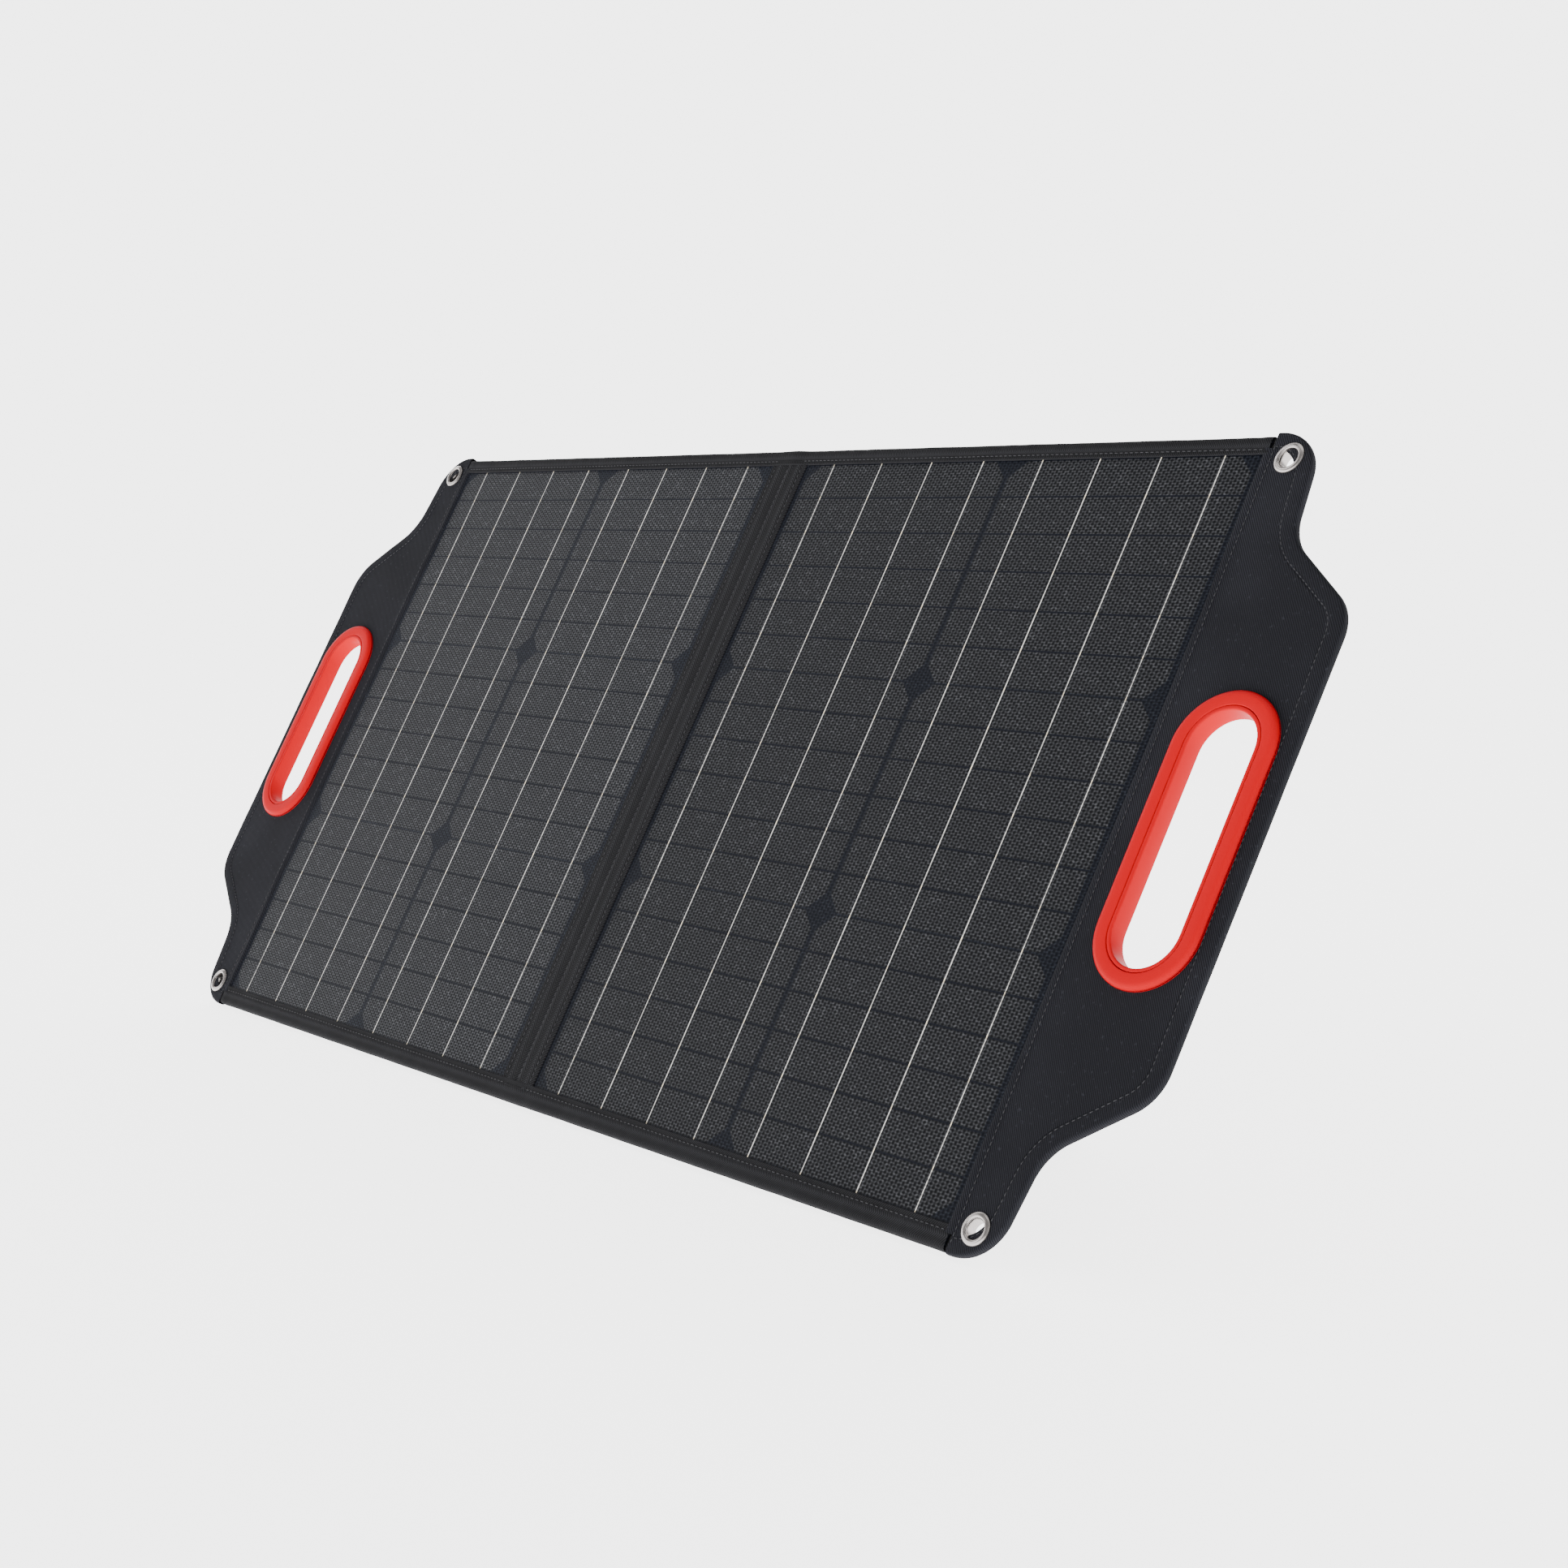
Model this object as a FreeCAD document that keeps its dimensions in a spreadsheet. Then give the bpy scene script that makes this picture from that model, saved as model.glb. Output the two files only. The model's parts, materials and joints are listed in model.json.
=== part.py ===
import FreeCAD, Part
import math
import os
import re

import Sketcher
from FreeCAD import Placement, Rotation, Vector

# A folding solar case: two framed solar panels joined by a cloth spine, a handle flap sewn to each
# outer side, a kickstand behind each panel, an output box and an accessory pocket on the back.
# Every piece is drawn flat, as if the open case lay face up: x across the two panels, y from the
# bottom edge up the slope and z out of the solar face, whose film surface is z = 0. One placement
# then leans the whole case back on its kickstands, with +Z up and the front facing -Y.

DIMENSIONS = [
    # the two panels
    ("active_width", 325.0),
    ("active_height", 390.0),
    ("spine_width", 29.0),
    ("spine_split", 0.8),
    ("top_band", 10.0),
    ("bottom_band", 12.4),
    ("lean_degrees", 30.0),
    ("stack_under_tape", 6.0),
    ("seam_overlap", 1.0),
    ("fold_clearance", 0.6),
    # the layers of a panel, from the film down
    ("film_thick", 0.4),
    ("ribbon_thick", 0.2),
    ("cell_thick", 0.3),
    ("backsheet_thick", 1.3),
    ("board_thick", 2.0),
    ("cover_thick", 0.8),
    ("tape_thick", 0.8),
    # the cells and their ribbons
    ("cell_width", 156.6),
    ("cell_pitch_across", 160.0),
    ("cell_height", 128.6),
    ("cell_pitch_up", 130.0),
    ("cell_corner", 9.5),
    ("ribbon_width", 1.2),
    ("ribbon_pitch", 39.19),
    ("ribbon_end", 1.5),
    # the handle flaps
    ("flap_gap", 3.0),
    ("flap_below_top", 195.6),
    ("flap_front", 0.8),
    ("flap_thick", 5.0),
    ("flap_cloth_thick", 0.8),
    ("flap_band", 6.0),
    ("flap_band_leg", 0.5),
    ("cloth_inset", 0.7),
    ("stiffener_inset", 1.4),
    ("tab_across", 4.7),
    ("tab_up", 182.6),
    ("tab_round", 25.0),
    ("waist_across", 60.7),
    ("waist_up", 168.0),
    ("waist_round", 29.0),
    ("shoulder_across", 54.3),
    ("shoulder_up", 103.6),
    ("shoulder_round", 26.2),
    # the moulded handle in each flap
    ("handle_across", 43.0),
    ("handle_half_run", 44.7),
    ("handle_flange_round", 28.95),
    ("handle_opening_round", 18.5),
    ("handle_sleeve_wall", 2.2),
    ("handle_proud", 3.0),
    ("handle_edge_fillet", 2.4),
    ("handle_sleeve_short", 0.2),
    ("running_clearance", 0.3),
    # the grommets
    ("grommet_across", 14.6),
    ("grommet_up", 193.1),
    ("grommet_flange_round", 8.0),
    ("grommet_hole_round", 4.8),
    ("grommet_wall", 0.7),
    ("grommet_proud", 1.1),
    ("grommet_seat_gap", 0.1),
    # the kickstands
    ("stand_length", 235.0),
    ("stand_width", 116.0),
    ("stand_spread_degrees", 45.0),
    ("stand_board_thick", 2.4),
    ("stand_cloth_thick", 0.7),
    ("stand_axis_behind", 2.6),
    ("stand_top_gap", 2.5),
    ("stand_frame", 3.0),
    ("stand_tape_gap", 1.0),
    ("stand_tape_up", 24.0),
    ("strap_reach", 130.0),
    ("strap_width", 20.0),
    ("strap_thick", 0.8),
    ("strap_end_gap", 0.3),
    # the output box on the left panel
    ("box_across", 122.0),
    ("box_tall", 66.0),
    ("box_bottom", 312.0),
    ("box_deep", 15.0),
    ("box_wall", 2.0),
    ("box_lid_thick", 2.4),
    ("box_floor_thick", 1.6),
    ("post_round", 3.6),
    ("post_inset", 7.0),
    ("screw_round", 1.4),
    ("screw_head_round", 2.6),
    ("screw_head_tall", 1.5),
    ("screw_long", 9.0),
    ("screw_clearance", 0.1),
    ("circuit_thick", 1.6),
    ("circuit_lift", 2.4),
    ("circuit_gap", 0.5),
    ("spacer_top", 8.0),
    ("spacer_bottom", 24.0),
    ("socket_wide", 13.4),
    ("socket_tall", 6.4),
    ("socket_long", 14.0),
    ("socket_wall", 0.5),
    ("socket_pitch", 22.0),
    ("socket_recess", 0.2),
    ("jack_wide", 11.0),
    ("jack_tall", 9.0),
    ("jack_hole_round", 2.75),
    ("jack_hole_long", 9.0),
    ("lens_round", 1.6),
    ("lens_gap", 0.05),
    ("lens_proud", 0.4),
    ("dust_cover_thick", 1.6),
    ("dust_cover_wide", 88.0),
    ("dust_cover_gap", 0.4),
    ("dust_cover_rim", 0.2),
    ("dust_cover_root", 2.0),
    # the accessory pocket on the right panel
    ("pocket_across", 230.0),
    ("pocket_tall", 104.0),
    ("pocket_bottom", 290.0),
    ("pocket_deep", 12.0),
    ("pocket_fillet", 5.0),
    ("zip_below_top", 20.0),
    ("zip_tape_wide", 26.0),
    ("zip_tape_thick", 0.7),
    ("zip_teeth_wide", 4.6),
    ("zip_teeth_tall", 1.5),
    ("zip_tape_spare", 3.0),
    ("zip_end_gap", 1.0),
    ("zip_stop_gap", 1.5),
    ("zip_stop_half", 1.2),
    ("zip_stop_proud", 0.4),
    ("slider_wide", 7.6),
    ("slider_long", 11.0),
    ("slider_tall", 4.6),
    ("slider_travel", 180.0),
    ("ear_spread", 2.6),
    ("ear_tall", 3.4),
    ("ear_half_wide", 0.6),
    ("ear_half_long", 1.8),
    ("ear_pin_lift", 1.6),
    ("pull_long", 26.0),
    ("pull_wide", 8.0),
    ("pull_thick", 1.6),
    ("pull_neck", 7.0),
    ("pull_eye_round", 1.6),
    ("pull_pin_round", 0.8),
    ("pull_pin_clearance", 0.06),
    ("pull_side_gap", 0.9),
]

doc = FreeCAD.newDocument("folding_solar_case")
sheet = doc.addObject("Spreadsheet::Sheet", "sheet")
for row, (alias, number) in enumerate(DIMENSIONS, start=1):
    sheet.set(f"A{row}", alias)
    sheet.set(f"B{row}", str(number))
    sheet.setAlias(f"B{row}", alias)
doc.recompute()

NODES = {}
WORDS = re.compile(r"\b(?!cos\b|sin\b|deg\b)([a-z]\w*)")


def formula(text):
    """Turns dimension names into references to the sheet's cells."""
    return WORDS.sub(r"sheet.\1", str(text))


def value(text):
    """Reads a formula's present value from the sheet."""
    return float(sheet.evalExpression(formula(text)))


def bind(item, prop, text):
    """Ties a property to a formula of the sheet's dimensions."""
    item.setExpression(prop, formula(text))


def plane(body, role):
    """Finds one of a body's own origin planes."""
    return next(f for f in body.Origin.OriginFeatures if f.Role == role)


# Heights of the layers, as formulas of the sheet. Each name says which face it is.
FILM_BACK = "-film_thick"
RIBBON_BACK = f"({FILM_BACK} - ribbon_thick)"
CELL_BACK = f"({RIBBON_BACK} - cell_thick)"
SHEET_BACK = f"({CELL_BACK} - backsheet_thick)"
BOARD_BACK = f"({SHEET_BACK} - board_thick)"
PANEL_BACK = f"({BOARD_BACK} - cover_thick)"
TAPE_BACK = f"({PANEL_BACK} - tape_thick)"
TOP = "(bottom_band + active_height + top_band)"
ACTIVE_TOP = "(bottom_band + active_height)"
MIDDLE = "(bottom_band + active_height / 2)"
SEAM = "(spine_width / 2 + active_width)"
PANEL_MIDDLE = "(spine_width / 2 + active_width / 2)"
FLAP_START = f"({SEAM} + flap_gap)"
STACK_START = "(spine_width / 2 - stack_under_tape)"
STACK_END = f"({SEAM} + seam_overlap)"
FLAP_MIDDLE = "(bottom_band + active_height - flap_below_top)"
FLAP_BACK = "(flap_front - flap_thick)"
CLOTH_FRONT = "(flap_front - flap_band_leg)"
CLOTH_BACK = f"({FLAP_BACK} + flap_band_leg)"
FLAP_AXIS = f"({SEAM} + flap_gap / 2)"
FOLD_AXIS_OUT = "(flap_front + handle_proud + fold_clearance)"


def new_body(label):
    """Starts a body that becomes one node."""
    body = doc.addObject("PartDesign::Body", label)
    body.Label = label
    body.AllowCompound = True
    NODES[label] = body
    return body


def new_sketch(body, height, role="XY_Plane"):
    """Attaches an empty sketch to the body's own plane, lifted to a height."""
    sketch = body.newObject("Sketcher::SketchObject", f"{body.Name}_outline")
    sketch.AttachmentSupport = [(plane(body, role), "")]
    sketch.MapMode = "FlatFace"
    bind(sketch, ".AttachmentOffset.Base.z", height)
    return sketch


def hold(sketch, kind, geometry, point, text):
    """Holds one point of the sketch at a distance from the origin, or on an axis if that is nil."""
    if abs(value(text)) < 1e-9:
        axis = -2 if kind == "DistanceX" else -1
        sketch.addConstraint(Sketcher.Constraint("PointOnObject", geometry, point, axis))
        return
    index = sketch.addConstraint(Sketcher.Constraint(kind, -1, 1, geometry, point, value(text)))
    bind(sketch, f"Constraints[{index}]", text)


def rectangle(left, right, bottom, top):
    """Makes a drawing function for a rectangle whose sides are formulas."""

    def draw(sketch):
        first = sketch.GeometryCount
        xs, ys = (value(left), value(right)), (value(bottom), value(top))
        corners = [Vector(xs[i], ys[j], 0) for i, j in ((0, 0), (1, 0), (1, 1), (0, 1))]
        for start, end in zip(corners, corners[1:] + corners[:1]):
            sketch.addGeometry(Part.LineSegment(start, end), False)
        for side in range(4):
            link = Sketcher.Constraint("Coincident", first + side, 2, first + (side + 1) % 4, 1)
            sketch.addConstraint(link)
            lie = "Horizontal" if side % 2 == 0 else "Vertical"
            sketch.addConstraint(Sketcher.Constraint(lie, first + side))
        hold(sketch, "DistanceX", first, 1, left)
        hold(sketch, "DistanceY", first, 1, bottom)
        hold(sketch, "DistanceX", first + 1, 2, right)
        hold(sketch, "DistanceY", first + 1, 2, top)

    return draw


def circle(across, up, round_):
    """Makes a drawing function for a circle."""

    def draw(sketch):
        centre = Vector(value(across), value(up), 0)
        made = sketch.addGeometry(Part.Circle(centre, Vector(0, 0, 1), value(round_)), False)
        index = sketch.addConstraint(Sketcher.Constraint("Radius", made, value(round_)))
        bind(sketch, f"Constraints[{index}]", round_)
        hold(sketch, "DistanceX", made, 3, across)
        hold(sketch, "DistanceY", made, 3, up)

    return draw


def racetrack(across, up, half_run, round_):
    """Makes a drawing function for an upright slot: two half circles joined by straight sides."""

    def draw(sketch):
        x, y, run, r = value(across), value(up), value(half_run), value(round_)
        upper = Part.ArcOfCircle(Part.Circle(Vector(x, y + run, 0), Vector(0, 0, 1), r), 0, math.pi)
        low_circle = Part.Circle(Vector(x, y - run, 0), Vector(0, 0, 1), r)
        lower = Part.ArcOfCircle(low_circle, math.pi, 2 * math.pi)
        right = Part.LineSegment(Vector(x + r, y - run, 0), Vector(x + r, y + run, 0))
        left = Part.LineSegment(Vector(x - r, y + run, 0), Vector(x - r, y - run, 0))
        a, b, c, d = (sketch.addGeometry(g, False) for g in (upper, lower, right, left))
        for one, end, other, start in ((a, 2, d, 1), (d, 2, b, 1), (b, 2, c, 1), (c, 2, a, 1)):
            sketch.addConstraint(Sketcher.Constraint("Tangent", one, end, other, start))
        index = sketch.addConstraint(Sketcher.Constraint("Radius", a, r))
        bind(sketch, f"Constraints[{index}]", round_)
        hold(sketch, "DistanceX", a, 3, across)
        hold(sketch, "DistanceY", a, 3, f"{up} + {half_run}")
        hold(sketch, "DistanceX", b, 3, across)
        hold(sketch, "DistanceY", b, 3, f"{up} - {half_run}")

    return draw


def pad(body, back, front, *drawings):
    """Adds the drawings' outline to the body, from one height to another."""
    sketch = new_sketch(body, back)
    for draw in drawings:
        draw(sketch)
    made = body.newObject("PartDesign::Pad", f"{body.Name}_pad")
    made.Profile = sketch
    bind(made, "Length", f"({front}) - ({back})")
    return made


def pad_across(body, left, right, *drawings):
    """Adds an outline drawn in the plane of y and z, from one x to another."""
    sketch = new_sketch(body, left, "YZ_Plane")
    for draw in drawings:
        draw(sketch)
    made = body.newObject("PartDesign::Pad", f"{body.Name}_pad")
    made.Profile = sketch
    bind(made, "Length", f"({right}) - ({left})")


def pocket_facing(body, role, start, length, *drawings):
    """Cuts an outline drawn on one of the body's planes, against that plane's own direction."""
    doc.recompute()
    before = body.Shape.Volume
    sketch = new_sketch(body, start, role)
    for draw in drawings:
        draw(sketch)
    made = body.newObject("PartDesign::Pocket", f"{body.Name}_pocket")
    made.Profile = sketch
    bind(made, "Length", length)
    doc.recompute()
    if body.Shape.Volume > before - 1e-3:
        raise RuntimeError(f"{body.Label}: a pocket cut nothing")


def pocket(body, back, front, *drawings):
    """Cuts the drawings' outline out of the body, from one height to another."""
    pocket_facing(body, "XY_Plane", front, f"({front}) - ({back})", *drawings)


def round_edges(body, height, radius, keep=lambda edge: True):
    """Fillets the body's edges that lie at one height and pass the test."""
    doc.recompute()
    level = value(height)
    names = []
    for index, edge in enumerate(body.Tip.Shape.Edges, start=1):
        box = edge.BoundBox
        if abs(box.ZMin - level) < 1e-4 and abs(box.ZMax - level) < 1e-4 and keep(edge):
            names.append(f"Edge{index}")
    solid = body.Tip
    made = body.newObject("PartDesign::Fillet", f"{body.Name}_fillet")
    made.Base = (solid, names)
    bind(made, "Radius", radius)


def slab(label, left, right, bottom, top, back, front):
    """A flat piece: one rectangle with a thickness."""
    body = new_body(label)
    pad(body, back, front, rectangle(left, right, bottom, top))
    return body


def folded_tape(label, left, right, bottom, top, mouth):
    """A binding tape folded over a panel edge: a U whose mouth faces up or down the slope."""
    body = new_body(label)
    pad(body, TAPE_BACK, "tape_thick", rectangle(left, right, bottom, top))
    if mouth == "down":
        inner = rectangle(left, right, bottom, f"{top} - tape_thick")
    else:
        inner = rectangle(left, right, f"{bottom} + tape_thick", top)
    pocket(body, PANEL_BACK, "0", inner)
    return body


def tangent(centre_a, signed_a, centre_b, signed_b):
    """Gives the ends of the straight line that leaves one circle and meets the next.

    Radii are positive where the outline turns right round the circle (clockwise) and negative
    where it turns left, so the line is the belt between two pulleys.
    """
    ax, ay = centre_a
    bx, by = centre_b
    span = math.hypot(bx - ax, by - ay)
    along = math.atan2(by - ay, bx - ax)
    swing = math.asin((signed_a - signed_b) / span)
    normal = along + math.pi / 2 - swing
    nx, ny = math.cos(normal), math.sin(normal)
    return (
        Vector(ax + signed_a * nx, ay + signed_a * ny, 0),
        Vector(bx + signed_b * nx, by + signed_b * ny, 0),
    )


def flap_outline(side, inset):
    """Makes a drawing function for the flap's outline, shrunk by an inset.

    From the seam the outline runs over the upper tab, in round the waist, out round the
    shoulder, down the straight grip edge and back the same way, mirrored about its middle.
    """

    def draw(sketch):
        shrink = value(inset)
        start = value(FLAP_START)
        middle = value(FLAP_MIDDLE)
        upper = [
            (value("tab_across"), value("tab_up"), value("tab_round") - shrink),
            (value("waist_across"), value("waist_up"), -value("waist_round") - shrink),
            (value("shoulder_across"), value("shoulder_up"), value("shoulder_round") - shrink),
        ]
        round_trip = upper + [(x, -y, r) for x, y, r in reversed(upper)]
        circles = [((x + value(SEAM), middle + y), r) for x, y, r in round_trip]
        (tab_x, tab_y), tab_round = circles[0]
        seam_x = start + shrink
        past = max(0.0, seam_x - tab_x)
        reach = tab_y - middle + math.sqrt(tab_round**2 - past**2)
        top = max(seam_x, tab_x)
        points = [Vector(seam_x, middle + reach, 0), Vector(top, middle + reach, 0)]
        for (one, r_one), (two, r_two) in zip(circles, circles[1:]):
            points.extend(tangent(one, r_one, two, r_two))
        points.extend([Vector(top, middle - reach, 0), Vector(seam_x, middle - reach, 0)])
        first, last = points[0], points[-1]
        flip = -1 if side == "left" else 1

        def place(point):
            return Vector(flip * point.x, point.y, 0)

        runs = zip(points[0::2], points[1::2])
        edges = [Part.LineSegment(place(a), place(b)) for a, b in runs if (b - a).Length > 1e-6]
        for index, (centre, radius) in enumerate(circles):
            enter, leave = points[2 * index + 1], points[2 * index + 2]
            bulge = (enter + leave) * 0.5 - Vector(*centre, 0)
            crown = Vector(*centre, 0) + bulge.normalize() * abs(radius)
            edges.append(Part.Arc(place(enter), place(crown), place(leave)))
        edges.append(Part.LineSegment(place(last), place(first)))
        for edge in edges:
            sketch.addGeometry(edge, False)

    return draw


def across(side, near, far):
    """Orders two distances from the middle as a left and a right side."""
    return (f"-({far})", f"-({near})") if side == "left" else (f"{near}", f"{far}")


def at(side, distance):
    """A distance from the middle, signed for its side."""
    return f"-({distance})" if side == "left" else f"({distance})"


def panel_layers(side):
    """The flat stack of one panel, from the film to the rear cover cloth."""
    inner, outer = across(side, STACK_START, STACK_END)
    low, high = "tape_thick", f"{TOP} - tape_thick"
    slab(f"{side}_film", inner, outer, low, high, FILM_BACK, "0")
    slab(f"{side}_backsheet", inner, outer, low, high, SHEET_BACK, CELL_BACK)
    slab(f"{side}_support_board", inner, outer, low, high, BOARD_BACK, SHEET_BACK)
    slab(f"{side}_rear_cover", inner, outer, low, high, PANEL_BACK, BOARD_BACK)


def cells(side):
    """Six solar cells with cut corners, in two columns of three."""
    body = new_body(f"{side}_solar_cells")
    centres = []
    for column in (-0.5, 0.5):
        for row in (-1, 0, 1):
            across_text = f"{at(side, PANEL_MIDDLE)} + ({column}) * cell_pitch_across"
            centres.append((across_text, f"{MIDDLE} + ({row}) * cell_pitch_up"))

    def octagon(x_text, y_text):
        def draw(sketch):
            x, y = value(x_text), value(y_text)
            a, b, cut = value("cell_width / 2"), value("cell_height / 2"), value("cell_corner")
            ring = [(a, b - cut), (a - cut, b), (cut - a, b), (-a, b - cut)]
            ring += [(-px, -py) for px, py in ring]
            points = [Vector(x + px, y + py, 0) for px, py in ring]
            for start, end in zip(points, points[1:] + points[:1]):
                sketch.addGeometry(Part.LineSegment(start, end), False)

        return draw

    pad(body, CELL_BACK, RIBBON_BACK, *[octagon(x, y) for x, y in centres])


def ribbons(side):
    """Eight flat tinned ribbons, four down each column of cells."""
    body = new_body(f"{side}_busbar_ribbons")
    strips = []
    for column in (-0.5, 0.5):
        for step in (-1.5, -0.5, 0.5, 1.5):
            middle = f"{at(side, PANEL_MIDDLE)} + ({column}) * cell_pitch_across"
            line = f"({middle} + ({step}) * ribbon_pitch)"
            ends = ("bottom_band + ribbon_end", f"{ACTIVE_TOP} - ribbon_end")
            sides = (f"{line} - ribbon_width / 2", f"{line} + ribbon_width / 2")
            strips.append(rectangle(*sides, *ends))
    pad(body, RIBBON_BACK, FILM_BACK, *strips)


def panel_tapes(side):
    """The tapes that bind the panel: folded over its top and bottom, and flat down its sides."""
    inner, outer = across(side, "spine_split / 2", STACK_END)
    folded_tape(f"{side}_top_binding", inner, outer, ACTIVE_TOP, TOP, "down")
    folded_tape(f"{side}_bottom_binding", inner, outer, "0", "bottom_band", "up")
    near, far = across(side, "spine_split / 2", "spine_width / 2")
    hem = new_body(f"{side}_spine_tape")
    pad(hem, "0", "tape_thick", rectangle(near, far, "bottom_band", ACTIVE_TOP))
    near, far = across(side, "spine_split / 2", STACK_START)
    pad(hem, PANEL_BACK, "0", rectangle(near, far, "bottom_band", ACTIVE_TOP))


def flap(side):
    """The cloth handle flap: two cloths, a stiffener between them and a folded edge tape."""
    hole = racetrack(at(side, f"({SEAM} + handle_across)"), FLAP_MIDDLE, "handle_half_run",
                     "handle_opening_round + handle_sleeve_wall")
    eyes = [
        circle(at(side, f"({SEAM} + grommet_across)"), f"{FLAP_MIDDLE} + ({sign}) * grommet_up",
               "grommet_hole_round + grommet_wall")
        for sign in (1, -1)
    ]
    layers = [
        ("front_cloth", f"{CLOTH_FRONT} - flap_cloth_thick", CLOTH_FRONT),
        ("flap_stiffener", f"{CLOTH_BACK} + flap_cloth_thick", f"{CLOTH_FRONT} - flap_cloth_thick"),
        ("rear_cloth", CLOTH_BACK, f"{CLOTH_BACK} + flap_cloth_thick"),
    ]
    for name, back, front in layers:
        inset = "stiffener_inset" if name == "flap_stiffener" else "cloth_inset"
        label = f"{side}_{name}" if name.startswith("flap") else f"{side}_flap_{name}"
        layer = new_body(label)
        pad(layer, back, front, flap_outline(side, inset), hole, *eyes)
    edge = new_body(f"{side}_flap_edge_tape")
    pad(edge, FLAP_BACK, "flap_front", flap_outline(side, "0"), flap_outline(side, "flap_band"))
    pocket(edge, CLOTH_BACK, CLOTH_FRONT, flap_outline(side, "cloth_inset"))
    seats = [
        circle(at(side, f"({SEAM} + grommet_across)"), f"{FLAP_MIDDLE} + ({sign}) * grommet_up",
               "grommet_flange_round + grommet_seat_gap")
        for sign in (1, -1)
    ]
    pocket(edge, FLAP_BACK, "flap_front", *seats)


def handle(side):
    """The moulded grip: a front ring and a rear ring whose sleeve lines the hand opening."""
    place = (at(side, f"({SEAM} + handle_across)"), FLAP_MIDDLE, "handle_half_run")
    opening = racetrack(*place, "handle_opening_round")
    sleeve = racetrack(*place, "handle_opening_round + handle_sleeve_wall")
    flange = racetrack(*place, "handle_flange_round")
    front = new_body(f"{side}_handle_front_ring")
    pad(front, CLOTH_FRONT, "flap_front + handle_proud", flange, sleeve)
    limit = value("handle_opening_round + handle_sleeve_wall") + 0.5
    middle = Vector(value(place[0]), 0, 0)

    def outer_edge(edge):
        box = edge.BoundBox
        return max(abs(box.XMax - middle.x), abs(box.XMin - middle.x)) > limit

    round_edges(front, "flap_front + handle_proud", "handle_edge_fillet", outer_edge)
    rear = new_body(f"{side}_handle_rear_ring")
    pad(rear, f"{FLAP_BACK} - handle_proud", CLOTH_BACK, flange, opening)
    pad(rear, CLOTH_BACK, "flap_front + handle_proud - handle_sleeve_short", sleeve, opening)
    round_edges(rear, f"{FLAP_BACK} - handle_proud", "handle_edge_fillet", outer_edge)


def grommets(side):
    """Two eyelets in the flap's tabs: a flanged barrel in front and a washer behind."""
    centres = [
        (at(side, f"({SEAM} + grommet_across)"), f"{FLAP_MIDDLE} + ({sign}) * grommet_up")
        for sign in (1, -1)
    ]
    holes = [circle(x, y, "grommet_hole_round") for x, y in centres]
    rims = [circle(x, y, "grommet_flange_round") for x, y in centres]
    barrels = [circle(x, y, "grommet_hole_round + grommet_wall") for x, y in centres]
    eyelets = new_body(f"{side}_grommets")
    pad(eyelets, CLOTH_FRONT, "flap_front + grommet_proud", *rims, *holes)
    pad(eyelets, f"{FLAP_BACK} - grommet_proud", CLOTH_FRONT, *barrels, *holes)
    washers = new_body(f"{side}_grommet_washers")
    pad(washers, f"{FLAP_BACK} - grommet_proud", CLOTH_BACK, *rims, *barrels)


# Kickstands. Each is drawn flat in its own frame, whose origin lies on its hinge line: y runs back
# up towards the hinge, so the leg reaches down to y = -stand_length, and z is its thickness.
STAND_HALF = "(stand_board_thick / 2 + stand_cloth_thick)"
STAND_AXIS_OUT = f"({PANEL_BACK} - stand_axis_behind)"
LEG_TILT = "(stand_spread_degrees - lean_degrees)"
STAND_AXIS_UP = (
    f"((({TAPE_BACK} - {STAND_AXIS_OUT}) * sin(lean_degrees * 1 deg)"
    f" + stand_length * cos({LEG_TILT} * 1 deg) + {STAND_HALF} * sin({LEG_TILT} * 1 deg))"
    f" / cos(lean_degrees * 1 deg))"
)


def kickstand(side):
    """A stiff cloth leg: a board between two cloths, framed by a tape."""
    centre = at(side, PANEL_MIDDLE)
    left, right = f"{centre} - stand_width / 2", f"{centre} + stand_width / 2"
    low, high, frame = "-stand_length", "-stand_top_gap", "stand_frame"
    inner = rectangle(f"{left} + {frame}", f"{right} - {frame}",
                      f"{low} + {frame}", f"{high} - {frame}")
    edge = new_body(f"{side}_stand_edge_tape")
    pad(edge, f"-{STAND_HALF}", STAND_HALF, rectangle(left, right, low, high), inner)
    layers = [
        ("stand_front_cloth", "stand_board_thick / 2", STAND_HALF),
        ("stand_board", "-stand_board_thick / 2", "stand_board_thick / 2"),
        ("stand_rear_cloth", f"-{STAND_HALF}", "-stand_board_thick / 2"),
    ]
    for name, back, front in layers:
        pad(new_body(f"{side}_{name}"), back, front, inner)
    hinge = (f"{STAND_AXIS_UP} + stand_tape_gap", f"{STAND_AXIS_UP} + stand_tape_up")
    slab(f"{side}_stand_hinge_tape", left, right, *hinge, f"{PANEL_BACK} - tape_thick", PANEL_BACK)


def strap_ends():
    """Gives the strap's two ends in the panel's frame: on the rear cover and on the leg."""
    spread = math.radians(value("stand_spread_degrees"))
    up, out, reach = value(STAND_AXIS_UP), value(STAND_AXIS_OUT), value("strap_reach")
    half, gap = value(STAND_HALF), value("strap_end_gap")
    on_panel = Vector(0, up - reach, value(PANEL_BACK) - gap)
    on_leg = Vector(
        0,
        up - reach * math.cos(spread) - (half + gap) * math.sin(spread),
        out - reach * math.sin(spread) + (half + gap) * math.cos(spread),
    )
    return on_panel, on_leg


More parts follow.
